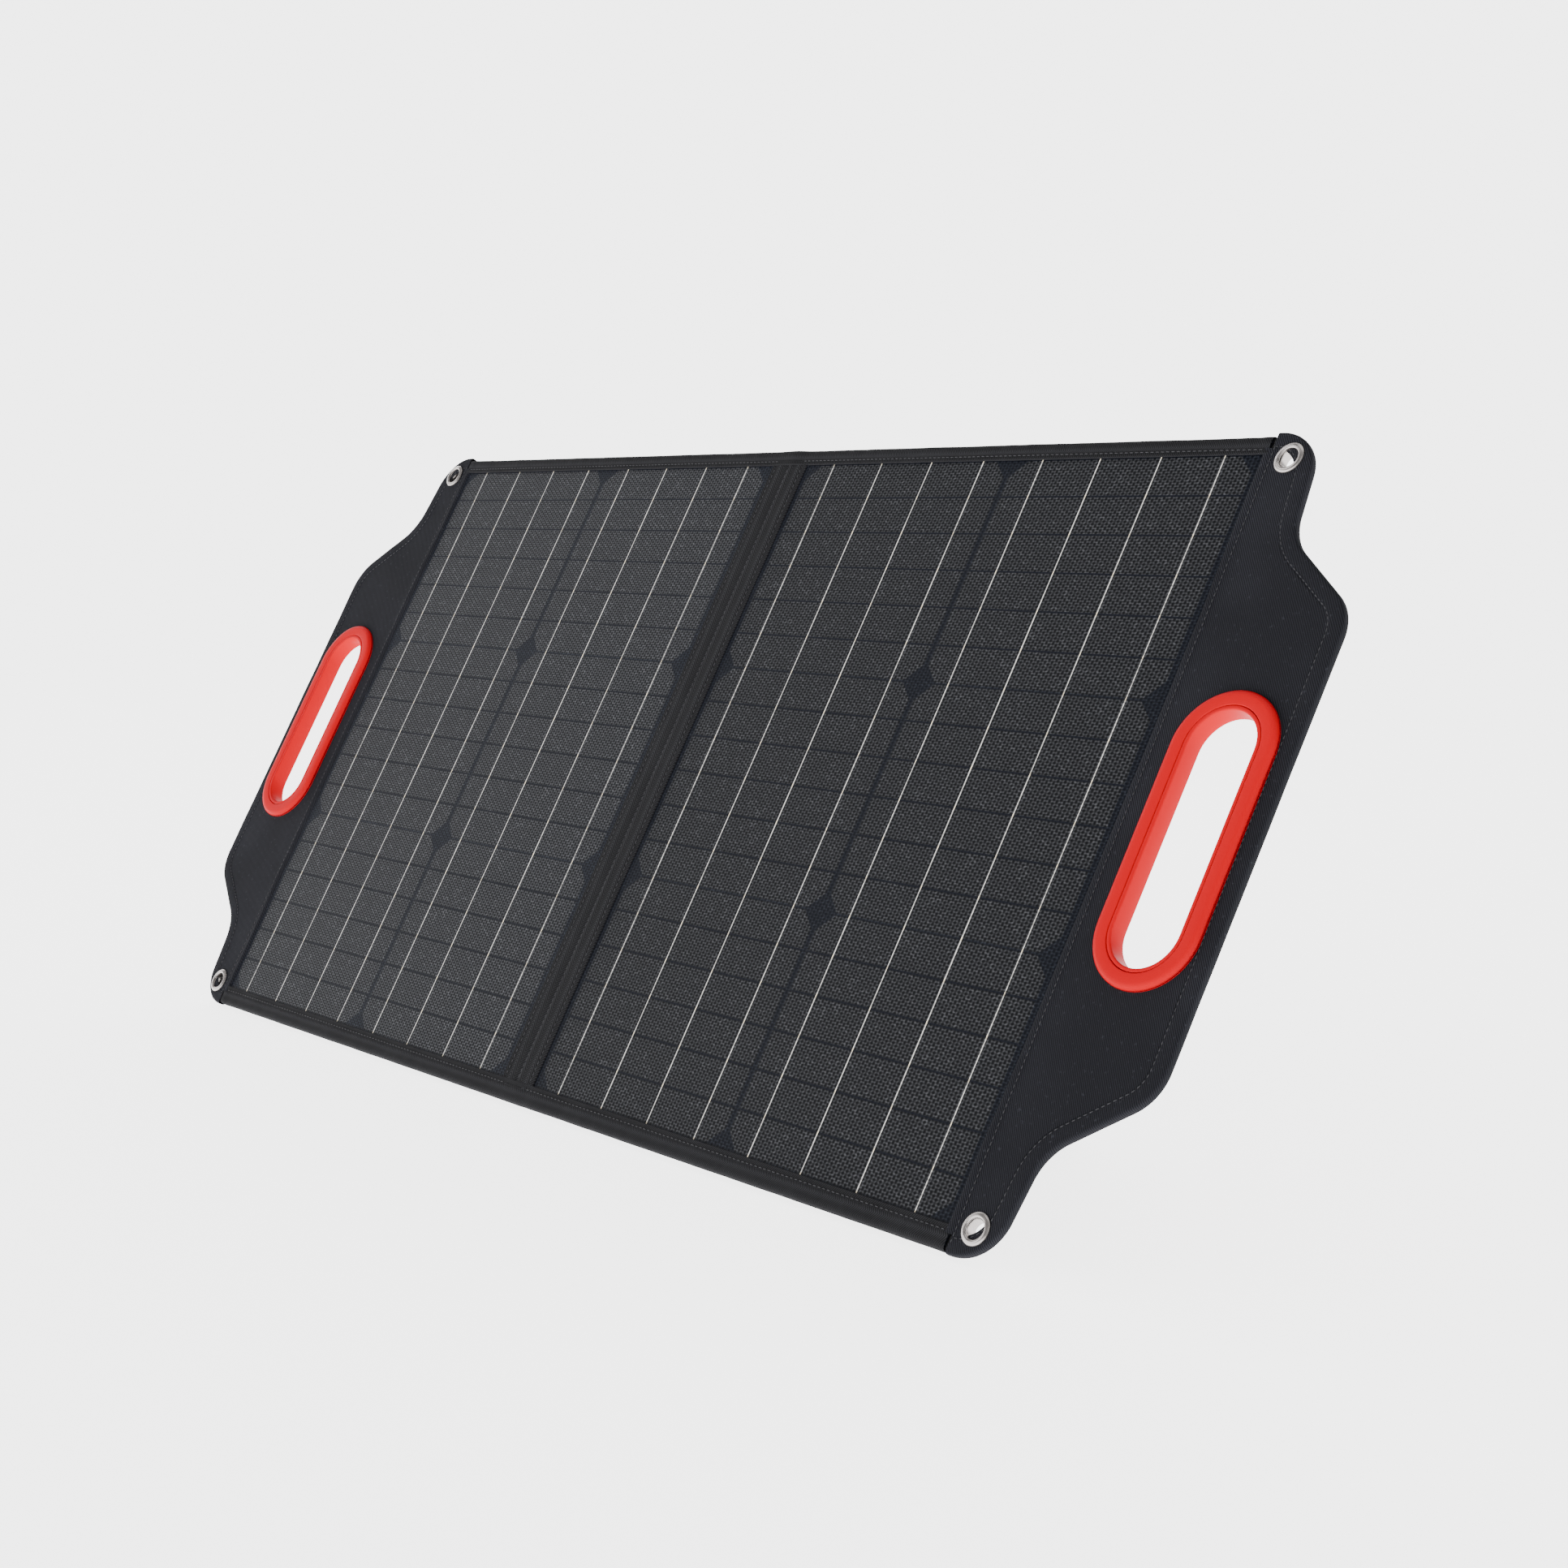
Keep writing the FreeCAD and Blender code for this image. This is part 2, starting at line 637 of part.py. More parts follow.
def strap(side):
    """The ribbon that stops the leg opening further, drawn along y from the panel to the leg."""
    on_panel, on_leg = strap_ends()
    body = new_body(f"{side}_stand_strap")
    centre = at(side, PANEL_MIDDLE)
    sketch = new_sketch(body, "-strap_thick / 2")
    long_ = (on_leg - on_panel).Length
    left, right = value(f"{centre} - strap_width / 2"), value(f"{centre} + strap_width / 2")
    corners = ((left, 0), (right, 0), (right, long_), (left, long_))
    ring = [Vector(x, y, 0) for x, y in corners]
    for start, end in zip(ring, ring[1:] + ring[:1]):
        sketch.addGeometry(Part.LineSegment(start, end), False)
    made = body.newObject("PartDesign::Pad", f"{body.Name}_pad")
    made.Profile = sketch
    bind(made, "Length", "strap_thick")


# The output box on the back of the left panel. Its sockets face down the slope.
BOX_MIDDLE = f"(-{PANEL_MIDDLE})"
BOX_LEFT, BOX_RIGHT = f"({BOX_MIDDLE} - box_across / 2)", f"({BOX_MIDDLE} + box_across / 2)"
BOX_TOP = "(box_bottom + box_tall)"
BOX_FLOOR = f"({PANEL_BACK} - box_floor_thick)"
BOX_RIM = f"({PANEL_BACK} - box_deep)"
BOX_LID_BACK = f"({BOX_RIM} - box_lid_thick)"
CIRCUIT_FRONT = f"({BOX_FLOOR} - circuit_lift)"
CIRCUIT_BACK = f"({CIRCUIT_FRONT} - circuit_thick)"
SOCKET_BACK = f"({CIRCUIT_BACK} - socket_tall)"
SOCKET_MOUTH = "(box_bottom + socket_recess)"
SOCKET_END = f"({SOCKET_MOUTH} + socket_long)"
SOCKET_PLACES = ["socket_pitch * 0.5", "socket_pitch * 1.5"]
JACK_PLACE = f"({BOX_MIDDLE} - socket_pitch)"


def output_box():
    """A shallow plastic box with a circuit board, two charging sockets and a round power jack."""
    posts = [
        (f"{BOX_MIDDLE} + ({i}) * (box_across / 2 - post_inset)",
         f"box_bottom + box_tall / 2 + ({j}) * (box_tall / 2 - post_inset)")
        for i in (-1, 1) for j in (-1, 1)
    ]
    outer = rectangle(BOX_LEFT, BOX_RIGHT, "box_bottom", BOX_TOP)
    inner = rectangle(f"{BOX_LEFT} + box_wall", f"{BOX_RIGHT} - box_wall",
                      "box_bottom + box_wall", f"{BOX_TOP} - box_wall")
    base = new_body("output_box_base")
    pad(base, BOX_FLOOR, PANEL_BACK, outer)
    pad(base, BOX_RIM, BOX_FLOOR, outer, inner)
    pad(base, BOX_RIM, BOX_FLOOR, *[circle(x, y, "post_round") for x, y in posts])
    spacer = rectangle(
        f"{BOX_LEFT} + 2 * post_inset + post_round",
        f"{BOX_RIGHT} - 2 * post_inset - post_round",
        f"{BOX_TOP} - box_wall - spacer_bottom",
        f"{BOX_TOP} - box_wall - spacer_top",
    )
    pad(base, CIRCUIT_FRONT, BOX_FLOOR, spacer)
    holes = [circle(x, y, "screw_round + screw_clearance") for x, y in posts]
    pocket(base, BOX_RIM, BOX_FLOOR, *holes)
    windows = [(f"({BOX_MIDDLE} + {place})", "socket_wide", "socket_tall") for place in SOCKET_PLACES]
    windows.append((JACK_PLACE, "jack_wide", "jack_tall"))
    for middle, wide, tall in windows:
        gap = rectangle(
            f"{middle} - {wide} / 2 - running_clearance",
            f"{middle} + {wide} / 2 + running_clearance",
            "box_bottom - box_wall",
            "box_bottom + box_wall + running_clearance",
        )
        back = f"{CIRCUIT_BACK} - {tall} - running_clearance"
        pocket(base, back, f"{CIRCUIT_BACK} + running_clearance", gap)

    lid = new_body("output_box_lid")
    lens_place = (f"{BOX_MIDDLE} + box_across / 4", f"{BOX_TOP} - box_tall / 4")
    eye = circle(*lens_place, "lens_round")
    pad(lid, BOX_LID_BACK, BOX_RIM, outer, eye, *holes)
    lens = new_body("status_light_lens")
    glow = circle(*lens_place, "lens_round - lens_gap")
    pad(lens, f"{BOX_LID_BACK} - lens_proud", BOX_RIM, glow)

    screws = new_body("output_box_screws")
    heads = [circle(x, y, "screw_head_round") for x, y in posts]
    shanks = [circle(x, y, "screw_round") for x, y in posts]
    pad(screws, f"{BOX_LID_BACK} - screw_head_tall", BOX_LID_BACK, *heads)
    pad(screws, BOX_LID_BACK, f"{BOX_LID_BACK} + screw_long", *shanks)

    board = new_body("circuit_board")
    card = rectangle(
        f"{BOX_LEFT} + post_inset + post_round + circuit_gap",
        f"{BOX_RIGHT} - post_inset - post_round - circuit_gap",
        "box_bottom + box_wall + circuit_gap",
        f"{BOX_TOP} - box_wall - circuit_gap",
    )
    pad(board, CIRCUIT_BACK, CIRCUIT_FRONT, card)
    sockets = new_body("charging_sockets")
    shells, mouths = [], []
    for place in SOCKET_PLACES:
        middle = f"({BOX_MIDDLE} + {place})"
        near, far = f"{middle} - socket_wide / 2", f"{middle} + socket_wide / 2"
        shells.append(rectangle(near, far, SOCKET_MOUTH, SOCKET_END))
        inner = (f"{near} + socket_wall", f"{far} - socket_wall")
        mouths.append(rectangle(*inner, "box_bottom - box_wall", f"{SOCKET_END} - socket_wall"))
    pad(sockets, SOCKET_BACK, CIRCUIT_BACK, *shells)
    pocket(sockets, f"{SOCKET_BACK} + socket_wall", f"{CIRCUIT_BACK} - socket_wall", *mouths)

    jack = new_body("power_jack")
    pad(jack, f"{CIRCUIT_BACK} - jack_tall", CIRCUIT_BACK,
        rectangle(f"{JACK_PLACE} - jack_wide / 2", f"{JACK_PLACE} + jack_wide / 2",
                  SOCKET_MOUTH, SOCKET_END))
    pocket_facing(jack, "XZ_Plane", f"-{SOCKET_MOUTH}", "jack_hole_long",
                  circle(JACK_PLACE, f"{CIRCUIT_BACK} - jack_tall / 2", "jack_hole_round"))

    cover = new_body("dust_cover")
    wide = (f"{BOX_MIDDLE} - dust_cover_wide / 2", f"{BOX_MIDDLE} + dust_cover_wide / 2")
    faces = ("box_bottom - dust_cover_gap - dust_cover_thick", "box_bottom - dust_cover_gap")
    pad(cover, f"{BOX_RIM} + dust_cover_rim", f"{PANEL_BACK} - dust_cover_root",
        rectangle(*wide, *faces))


# The accessory pocket on the back of the right panel, closed by a zip that runs across it.
POCKET_BACK = f"({PANEL_BACK} - pocket_deep)"
POCKET_TOP = "(pocket_bottom + pocket_tall)"
ZIP_UP = f"({POCKET_TOP} - zip_below_top)"
ZIP_TAPE_BACK = f"({POCKET_BACK} - zip_tape_thick)"
ZIP_TEETH_BACK = f"({ZIP_TAPE_BACK} - zip_teeth_tall)"
ZIP_END = "(slider_travel / 2 + slider_long / 2 + zip_end_gap)"
SLIDER_START = f"({PANEL_MIDDLE} - slider_travel / 2)"
SLIDER_BACK = f"({ZIP_TAPE_BACK} - slider_tall)"
PULL_AXIS_OUT = f"({SLIDER_BACK} - ear_pin_lift)"


def accessory_pocket():
    """A soft pocket with a zip, whose pull tab hangs from a pin through the slider's two ears."""
    bag = new_body("accessory_pocket")
    sides = (f"{PANEL_MIDDLE} - pocket_across / 2", f"{PANEL_MIDDLE} + pocket_across / 2")
    pad(bag, POCKET_BACK, PANEL_BACK, rectangle(*sides, "pocket_bottom", POCKET_TOP))
    round_edges(bag, POCKET_BACK, "pocket_fillet")
    zip_half = f"({ZIP_END} + zip_tape_spare)"
    zip_run = (f"{PANEL_MIDDLE} - {zip_half}", f"{PANEL_MIDDLE} + {zip_half}")
    slab("zip_tape", *zip_run, f"{ZIP_UP} - zip_tape_wide / 2", f"{ZIP_UP} + zip_tape_wide / 2",
         ZIP_TAPE_BACK, POCKET_BACK)
    teeth = new_body("zip_teeth")
    tooth_rows = (f"{ZIP_UP} - zip_teeth_wide / 2", f"{ZIP_UP} + zip_teeth_wide / 2")
    pad(teeth, ZIP_TEETH_BACK, ZIP_TAPE_BACK,
        rectangle(f"{PANEL_MIDDLE} - {ZIP_END}", f"{PANEL_MIDDLE} + {ZIP_END}", *tooth_rows))
    stops = []
    for sign in (-1, 1):
        edge = f"{PANEL_MIDDLE} + ({sign}) * ({ZIP_END} + zip_stop_gap)"
        stops.append(rectangle(f"{edge} - zip_stop_half", f"{edge} + zip_stop_half", *tooth_rows))
    pad(teeth, f"{ZIP_TEETH_BACK} - zip_stop_proud", ZIP_TAPE_BACK, *stops)

    slider = new_body("zip_slider")
    ends = (f"{SLIDER_START} - slider_long / 2", f"{SLIDER_START} + slider_long / 2")
    pad(slider, SLIDER_BACK, f"{ZIP_TAPE_BACK} - running_clearance",
        rectangle(*ends, f"{ZIP_UP} - slider_wide / 2", f"{ZIP_UP} + slider_wide / 2"))
    pocket(slider, f"{ZIP_TEETH_BACK} - running_clearance", f"{ZIP_TAPE_BACK} - running_clearance",
           rectangle(f"{ends[0]} - slider_wide", f"{ends[1]} + slider_wide",
                     f"{ZIP_UP} - zip_teeth_wide / 2 - running_clearance",
                     f"{ZIP_UP} + zip_teeth_wide / 2 + running_clearance"))
    ears = []
    for sign in (-1, 1):
        middle = f"({SLIDER_START} + ({sign}) * ear_spread)"
        ears.append(rectangle(f"{middle} - ear_half_wide", f"{middle} + ear_half_wide",
                              f"{ZIP_UP} - ear_half_long", f"{ZIP_UP} + ear_half_long"))
    pad(slider, f"{SLIDER_BACK} - ear_tall", SLIDER_BACK, *ears)
    hole = circle(ZIP_UP, PULL_AXIS_OUT, "pull_pin_round")
    ear_reach = "(ear_spread + ear_half_wide)"
    ear_span = (f"{SLIDER_START} - {ear_reach}", f"{SLIDER_START} + {ear_reach}")
    pocket_facing(slider, "YZ_Plane", ear_span[1], f"({ear_span[1]}) - ({ear_span[0]})", hole)
    pad_across(new_body("zip_pull_pin"), *ear_span, hole)

    pull = new_body("zip_pull_tab")
    inside_reach = "(ear_spread - pull_side_gap)"
    inside = (f"{SLIDER_START} - {inside_reach}", f"{SLIDER_START} + {inside_reach}")
    blade = (f"{SLIDER_START} - pull_wide / 2", f"{SLIDER_START} + pull_wide / 2")
    pad(pull, "-pull_thick / 2", "pull_thick / 2", rectangle(*inside, "-pull_neck", "0"))
    pad(pull, "-pull_thick / 2", "pull_thick / 2", rectangle(*blade, "-pull_long", "-pull_neck"))
    pad_across(pull, *inside, circle("0", "0", "pull_eye_round"))
    pocket_facing(pull, "YZ_Plane", inside[1], f"({inside[1]}) - ({inside[0]})",
                  circle("0", "0", "pull_pin_round + pull_pin_clearance"))


for side in ("left", "right"):
    panel_layers(side)
    cells(side)
    ribbons(side)
    panel_tapes(side)
    flap(side)
    handle(side)
    grommets(side)
    kickstand(side)
    strap(side)
output_box()
accessory_pocket()

# Where everything stands. The lowest line of the panels and of the feet is z = 0, and the whole
# case is centred on x = 0 and y = 0.
ACROSS = Vector(1, 0, 0)
LEAN = Rotation(ACROSS, 90 - value("lean_degrees"))
SIN_LEAN = math.sin(math.radians(value("lean_degrees")))


def stand_frame(lean):
    """The leg's own frame, opened away from the panel about its hinge line."""
    origin = Vector(0, value(STAND_AXIS_UP), value(STAND_AXIS_OUT))
    return lean * Placement(origin, Rotation(ACROSS, value("stand_spread_degrees")))


def strap_frame(lean):
    """The strap's own frame, along the line between its two ends."""
    on_panel, on_leg = strap_ends()
    run = on_leg - on_panel
    return lean * Placement(on_panel, Rotation(ACROSS, math.degrees(math.atan2(run.z, run.y))))


def pull_frame(lean):
    """The pull tab's own frame: upright, with its origin on the pin."""
    pin = lean.multVec(Vector(0, value(ZIP_UP), value(PULL_AXIS_OUT)))
    return Placement(pin, Rotation(ACROSS, 90))


def place_all(back):
    """Leans every piece, with the panel's bottom edge a distance back from y = 0."""
    lean = Placement(Vector(0, back, -value(TAPE_BACK) * SIN_LEAN), LEAN)
    for label, body in NODES.items():
        if label == "zip_pull_tab":
            body.Placement = pull_frame(lean)
        elif label.endswith("stand_strap"):
            body.Placement = strap_frame(lean)
        elif "_stand_" in label and not label.endswith("hinge_tape"):
            body.Placement = stand_frame(lean)
        else:
            body.Placement = lean
    doc.recompute()
    return lean


place_all(0.0)
boxes = [body.Shape.BoundBox for body in NODES.values()]
lean = place_all(-(min(box.YMin for box in boxes) + max(box.YMax for box in boxes)) / 2)


def report_line(name, x, y, z):
    """Prints a point of the open flat case where it stands, in metres."""
    point = lean.multVec(Vector(x, value(y), value(z))) * 0.001
    print(f"{name}: [{point.x:.6f}, {point.y:.6f}, {point.z:.6f}]")


report_line("fold axis", 0, MIDDLE, FOLD_AXIS_OUT)
report_line("flap axis", value(FLAP_AXIS), MIDDLE, f"({FLAP_BACK} + flap_front) / 2")
report_line("stand axis", 0, STAND_AXIS_UP, STAND_AXIS_OUT)
cover_up = "box_bottom - dust_cover_gap - dust_cover_thick / 2"
report_line("dust cover axis", value(BOX_MIDDLE), cover_up, BOX_RIM)
report_line("pull axis", value(SLIDER_START), ZIP_UP, PULL_AXIS_OUT)
for name, sign in (("upper grommet", 1), ("lower grommet", -1)):
    up = f"{FLAP_MIDDLE} + ({sign}) * grommet_up"
    report_line(name, value(f"{SEAM} + grommet_across"), up, f"({FLAP_BACK} + flap_front) / 2")
report_line("jack mouth", value(JACK_PLACE), SOCKET_MOUTH, f"{CIRCUIT_BACK} - jack_tall / 2")

for item in doc.Objects:
    if "Invalid" in item.State or "Error" in item.State:
        raise RuntimeError(f"{item.Label} could not be worked out: {item.State}")
os.makedirs("parts", exist_ok=True)
for label, body in NODES.items():
    if body.Shape.isNull() or not body.Shape.isValid():
        raise RuntimeError(f"{label} is not a valid solid")
    body.Shape.exportStep(f"parts/{label}.step")
print(f"{len(NODES)} pieces")
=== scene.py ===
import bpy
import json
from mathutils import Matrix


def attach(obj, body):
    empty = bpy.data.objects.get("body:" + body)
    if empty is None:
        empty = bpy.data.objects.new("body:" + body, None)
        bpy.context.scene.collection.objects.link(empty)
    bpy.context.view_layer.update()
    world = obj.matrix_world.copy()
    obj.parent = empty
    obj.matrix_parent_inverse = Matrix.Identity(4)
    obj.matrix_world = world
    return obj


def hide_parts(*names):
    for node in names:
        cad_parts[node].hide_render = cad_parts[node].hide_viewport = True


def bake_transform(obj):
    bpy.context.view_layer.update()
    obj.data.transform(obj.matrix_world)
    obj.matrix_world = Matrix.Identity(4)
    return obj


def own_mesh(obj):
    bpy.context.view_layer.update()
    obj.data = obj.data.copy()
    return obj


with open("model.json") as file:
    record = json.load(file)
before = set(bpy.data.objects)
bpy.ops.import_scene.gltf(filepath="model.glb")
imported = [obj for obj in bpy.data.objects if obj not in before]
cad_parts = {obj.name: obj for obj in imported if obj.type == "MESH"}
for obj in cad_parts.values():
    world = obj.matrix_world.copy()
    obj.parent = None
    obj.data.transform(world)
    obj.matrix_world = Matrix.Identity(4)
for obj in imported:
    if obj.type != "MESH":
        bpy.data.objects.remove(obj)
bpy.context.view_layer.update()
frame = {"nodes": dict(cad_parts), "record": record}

# %% [markdown]
# # A folding solar case, piece by piece
# Two solar panels are bound in cloth tape and joined by a cloth spine, with a handle flap sewn to
# each outer side. Every piece below is first worked out flat, as if the open case lay face up:
# u runs across, v runs up the slope and w comes out of the film, all in millimetres. One function
# then leans the flat shape back by thirty degrees, which keeps each formula short and readable.

# %% The flat frame and how it leans
import json
import math

import bpy
import numpy as np
from mathutils import Matrix, Vector

ACROSS = np.array([1.0, 0.0, 0.0])
UP = np.array([0.0, 0.5, math.cos(math.radians(30))])
OUT = np.array([0.0, -math.cos(math.radians(30)), 0.5])
FOOT = np.array([0.0, -0.1053145, 0.0029003])
# across: the cells' inner edge, the flap's seam, a panel's middle and the film's outer edge
SPINE, SEAM, PANEL_MIDDLE, FILM_EDGE = 14.5, 339.5, 177.0, 340.2
# up the slope: the top edge, the cells' lower and upper edges, their middle and the flaps' middle
TOP, ACTIVE_LOW, ACTIVE_TOP, MIDDLE, FLAP_MIDDLE = 412.4, 12.4, 402.4, 207.4, 206.8
# the grip's slot and the eyelets, measured from the seam and the flaps' middle
GRIP_OUT, GRIP_RUN, EYELET_OUT, EYELET_UP = 43.0, 44.7, 14.6, 193.1
SIDES = {"left": -1, "right": 1}


def lean(flat):
    """Turns flat millimetres (u, v, w) into metres where the case stands: a foot point plus
    u across, v up the slope and w out of the face."""
    flat = np.asarray(flat, float) * 0.001
    return FOOT + flat[..., :1] * ACROSS + flat[..., 1:2] * UP + flat[..., 2:3] * OUT


# %% [markdown]
# ## Turning arrays of points into meshes
# Almost every piece is one grid of points: a sheet, or a profile carried along a path. One
# function joins neighbouring points into quads, closes the grid where it runs round, and turns
# the faces to look outwards. Writing whole arrays at once is far quicker than adding vertices one
# at a time, and it leaves no gaps where a surface meets itself.

# %% Mesh makers


def together(*parts):
    """Stacks coordinates whose shapes broadcast into one array of points."""
    return np.stack(np.broadcast_arrays(*parts), -1)


def distance(path):
    """How far along a path (n, k) each of its points lies."""
    return np.r_[0, np.cumsum(np.linalg.norm(np.diff(path, axis=0), axis=1))]


def raised(spots, height):
    """Adds heights to flat (m, n, 2) points."""
    return np.concatenate([spots, np.broadcast_to(height, spots.shape[:2])[..., None]], -1)


def put(name, points, quads, skin, uv=None):
    """Makes one smooth mesh from points (n, 3), quads (k, 4) and a uv for each quad corner."""
    mesh = bpy.data.meshes.new(name)
    mesh.vertices.add(len(points))
    mesh.vertices.foreach_set("co", np.ascontiguousarray(points, np.float32).ravel())
    mesh.loops.add(quads.size)
    mesh.loops.foreach_set("vertex_index", quads.astype(np.int32).ravel())
    mesh.polygons.add(len(quads))
    mesh.polygons.foreach_set("loop_start", np.arange(0, quads.size, 4, dtype=np.int32))
    mesh.polygons.foreach_set("use_smooth", np.ones(len(quads), bool))
    if uv is not None:
        layer = mesh.uv_layers.new(name="flat")
        layer.data.foreach_set("uv", np.ascontiguousarray(uv, np.float32).ravel())
    mesh.update()
    mesh.validate()
    mesh.materials.append(skin)
    made = bpy.data.objects.new(name, mesh)
    bpy.context.collection.objects.link(made)
    return made


def grid(name, flat, skin, uv=None, ring=False, loop=False, facing=None, keep=None):
    """Makes a grid of flat points (m, n, 3) into a mesh. ring closes the second direction on
    itself and loop the first. facing is the flat direction the faces look, and a closed piece
    without one is turned so its volume comes out positive. keep is a mask of the quads to use.
    uv holds flat millimetres, one row and column longer than the points where the grid closes."""
    m, n = flat.shape[:2]
    rows, columns = m - (not loop), n - (not ring)
    i, j = np.meshgrid(np.arange(rows), np.arange(columns), indexing="ij")
    near = [(i, j), (i + 1, j), (i + 1, j + 1), (i, j + 1)]
    quads = np.stack([(a % m) * n + b % n for a, b in near], -1).reshape(-1, 4)
    points = lean(flat).reshape(-1, 3)
    corner = [points[quads[:, k]] for k in range(4)]
    area = np.cross(corner[2] - corner[0], corner[3] - corner[1])
    if facing is None:
        middle = sum(corner) / 4 - points.mean(0)
        turn = (area * middle).sum() < 0
    else:
        turn = (area @ (lean(facing) - FOOT)).sum() < 0
    if uv is None:
        uv = flat[..., :2]
    tall, wide = uv.shape[:2]
    spots = np.stack([(a % tall) * wide + b % wide for a, b in near], -1).reshape(-1, 4)
    if turn:
        quads, spots = quads[:, ::-1], spots[:, ::-1]
    if keep is not None:
        quads, spots = quads[keep.ravel()], spots[keep.ravel()]
    return put(name, points, quads, skin, uv.reshape(-1, 2)[spots] * 0.001)


def copies(name, shape, quads, places, frames, skin):
    """Repeats one small shape (n, 3) at many places (k, 3), turned by frames (k, 3, 3)."""
    spread = np.einsum("na,kab->knb", shape, frames) + places[:, None]
    shift = (np.arange(len(places)) * len(shape))[:, None, None]
    return put(name, lean(spread).reshape(-1, 3), (quads[None] + shift).reshape(-1, 4), skin)


def ellipsoid(long_, wide, tall, rings=4, sides=6):
    """A small ellipsoid's points and quads: rings of points round its long axis."""
    t = np.linspace(0.12, math.pi - 0.12, rings)[:, None]
    a = np.linspace(0, 2 * math.pi, sides, endpoint=False)[None]
    shape = together(long_ * np.cos(t), wide * np.sin(t) * np.cos(a), tall * np.sin(t) * np.sin(a))
    i, j = np.meshgrid(np.arange(rings - 1), np.arange(sides), indexing="ij")
    k = (j + 1) % sides
    quads = np.stack([i * sides + j, i * sides + k, (i + 1) * sides + k, (i + 1) * sides + j], -1)
    return shape.reshape(-1, 3), quads.reshape(-1, 4)


def stitch(name, path, skin, pitch=3.3, length=2.3, width=0.55, back=False):
    """A row of thread stitches along a flat path (n, 3): one ellipsoid at each pitch, half sunk."""
    path = np.asarray(path, float)
    run = distance(path)
    at = np.arange(pitch / 2, run[-1], pitch)
    here, ahead = (np.stack([np.interp(at + step, run, path[:, k]) for k in range(3)], -1)
                   for step in (-0.6, 0.6))
    along = ahead - here
    along /= np.linalg.norm(along, axis=1, keepdims=True)
    top = np.tile([0.0, 0.0, -1.0 if back else 1.0], (len(at), 1))
    side = np.cross(top, along)
    shape, quads = ellipsoid(length / 2, width / 2, width / 2)
    return copies(name, shape, quads, (here + ahead) / 2, np.stack([along, side, top], 1), skin)


def sweep(name, path, normal, profile, skin, **how):
    """Carries a profile of (outward, w) pairs along a flat path (n, 2) with its unit normals."""
    spots = path[:, None] + normal[:, None] * profile[None, :, :1]
    return grid(name, raised(spots, profile[:, 1]), skin, **how)


def bend(*points, steps=5):
    """Rounds a polyline's corners: each inner point (x, y, r) becomes an arc-like curve through
    points r before and after it; the ends stay."""
    rows = [np.array(p[:2], float) for p in points]
    out = [rows[0]]
    for before, here, after, point in zip(rows, rows[1:], rows[2:], points[1:-1]):
        r = point[2] if len(point) > 2 else 0
        if not r:
            out.append(here)
            continue
        a = here + (before - here) / np.linalg.norm(before - here) * r
        b = here + (after - here) / np.linalg.norm(after - here) * r
        t = np.linspace(0, 1, steps)[:, None]
        out.extend((1 - t) ** 2 * a + 2 * t * (1 - t) * here + t**2 * b)
    out.append(rows[-1])
    return np.array(out)


def ripple(x, y, size, seed):
    """A smooth low wandering height: eight sine waves of mixed directions, about one unit high."""
    rng = np.random.default_rng(seed)
    total = 0
    for k in range(8):
        angle, phase = rng.uniform(0, 2 * math.pi, 2)
        wave = size * rng.uniform(0.6, 1.8)
        total = total + np.sin((x * math.cos(angle) + y * math.sin(angle)) * 2 * math.pi / wave + phase)
    return total / 4


# %% [markdown]
# ## Materials
# Each material is worked out from formulas, so it stays sharp at any distance. The patterns read
# the piece's own uv, which holds flat millimetres as metres, so a weave keeps its true pitch. A
# small helper writes the arithmetic nodes, because a woven pattern is mostly sawteeth and steps.

# %% Node helper


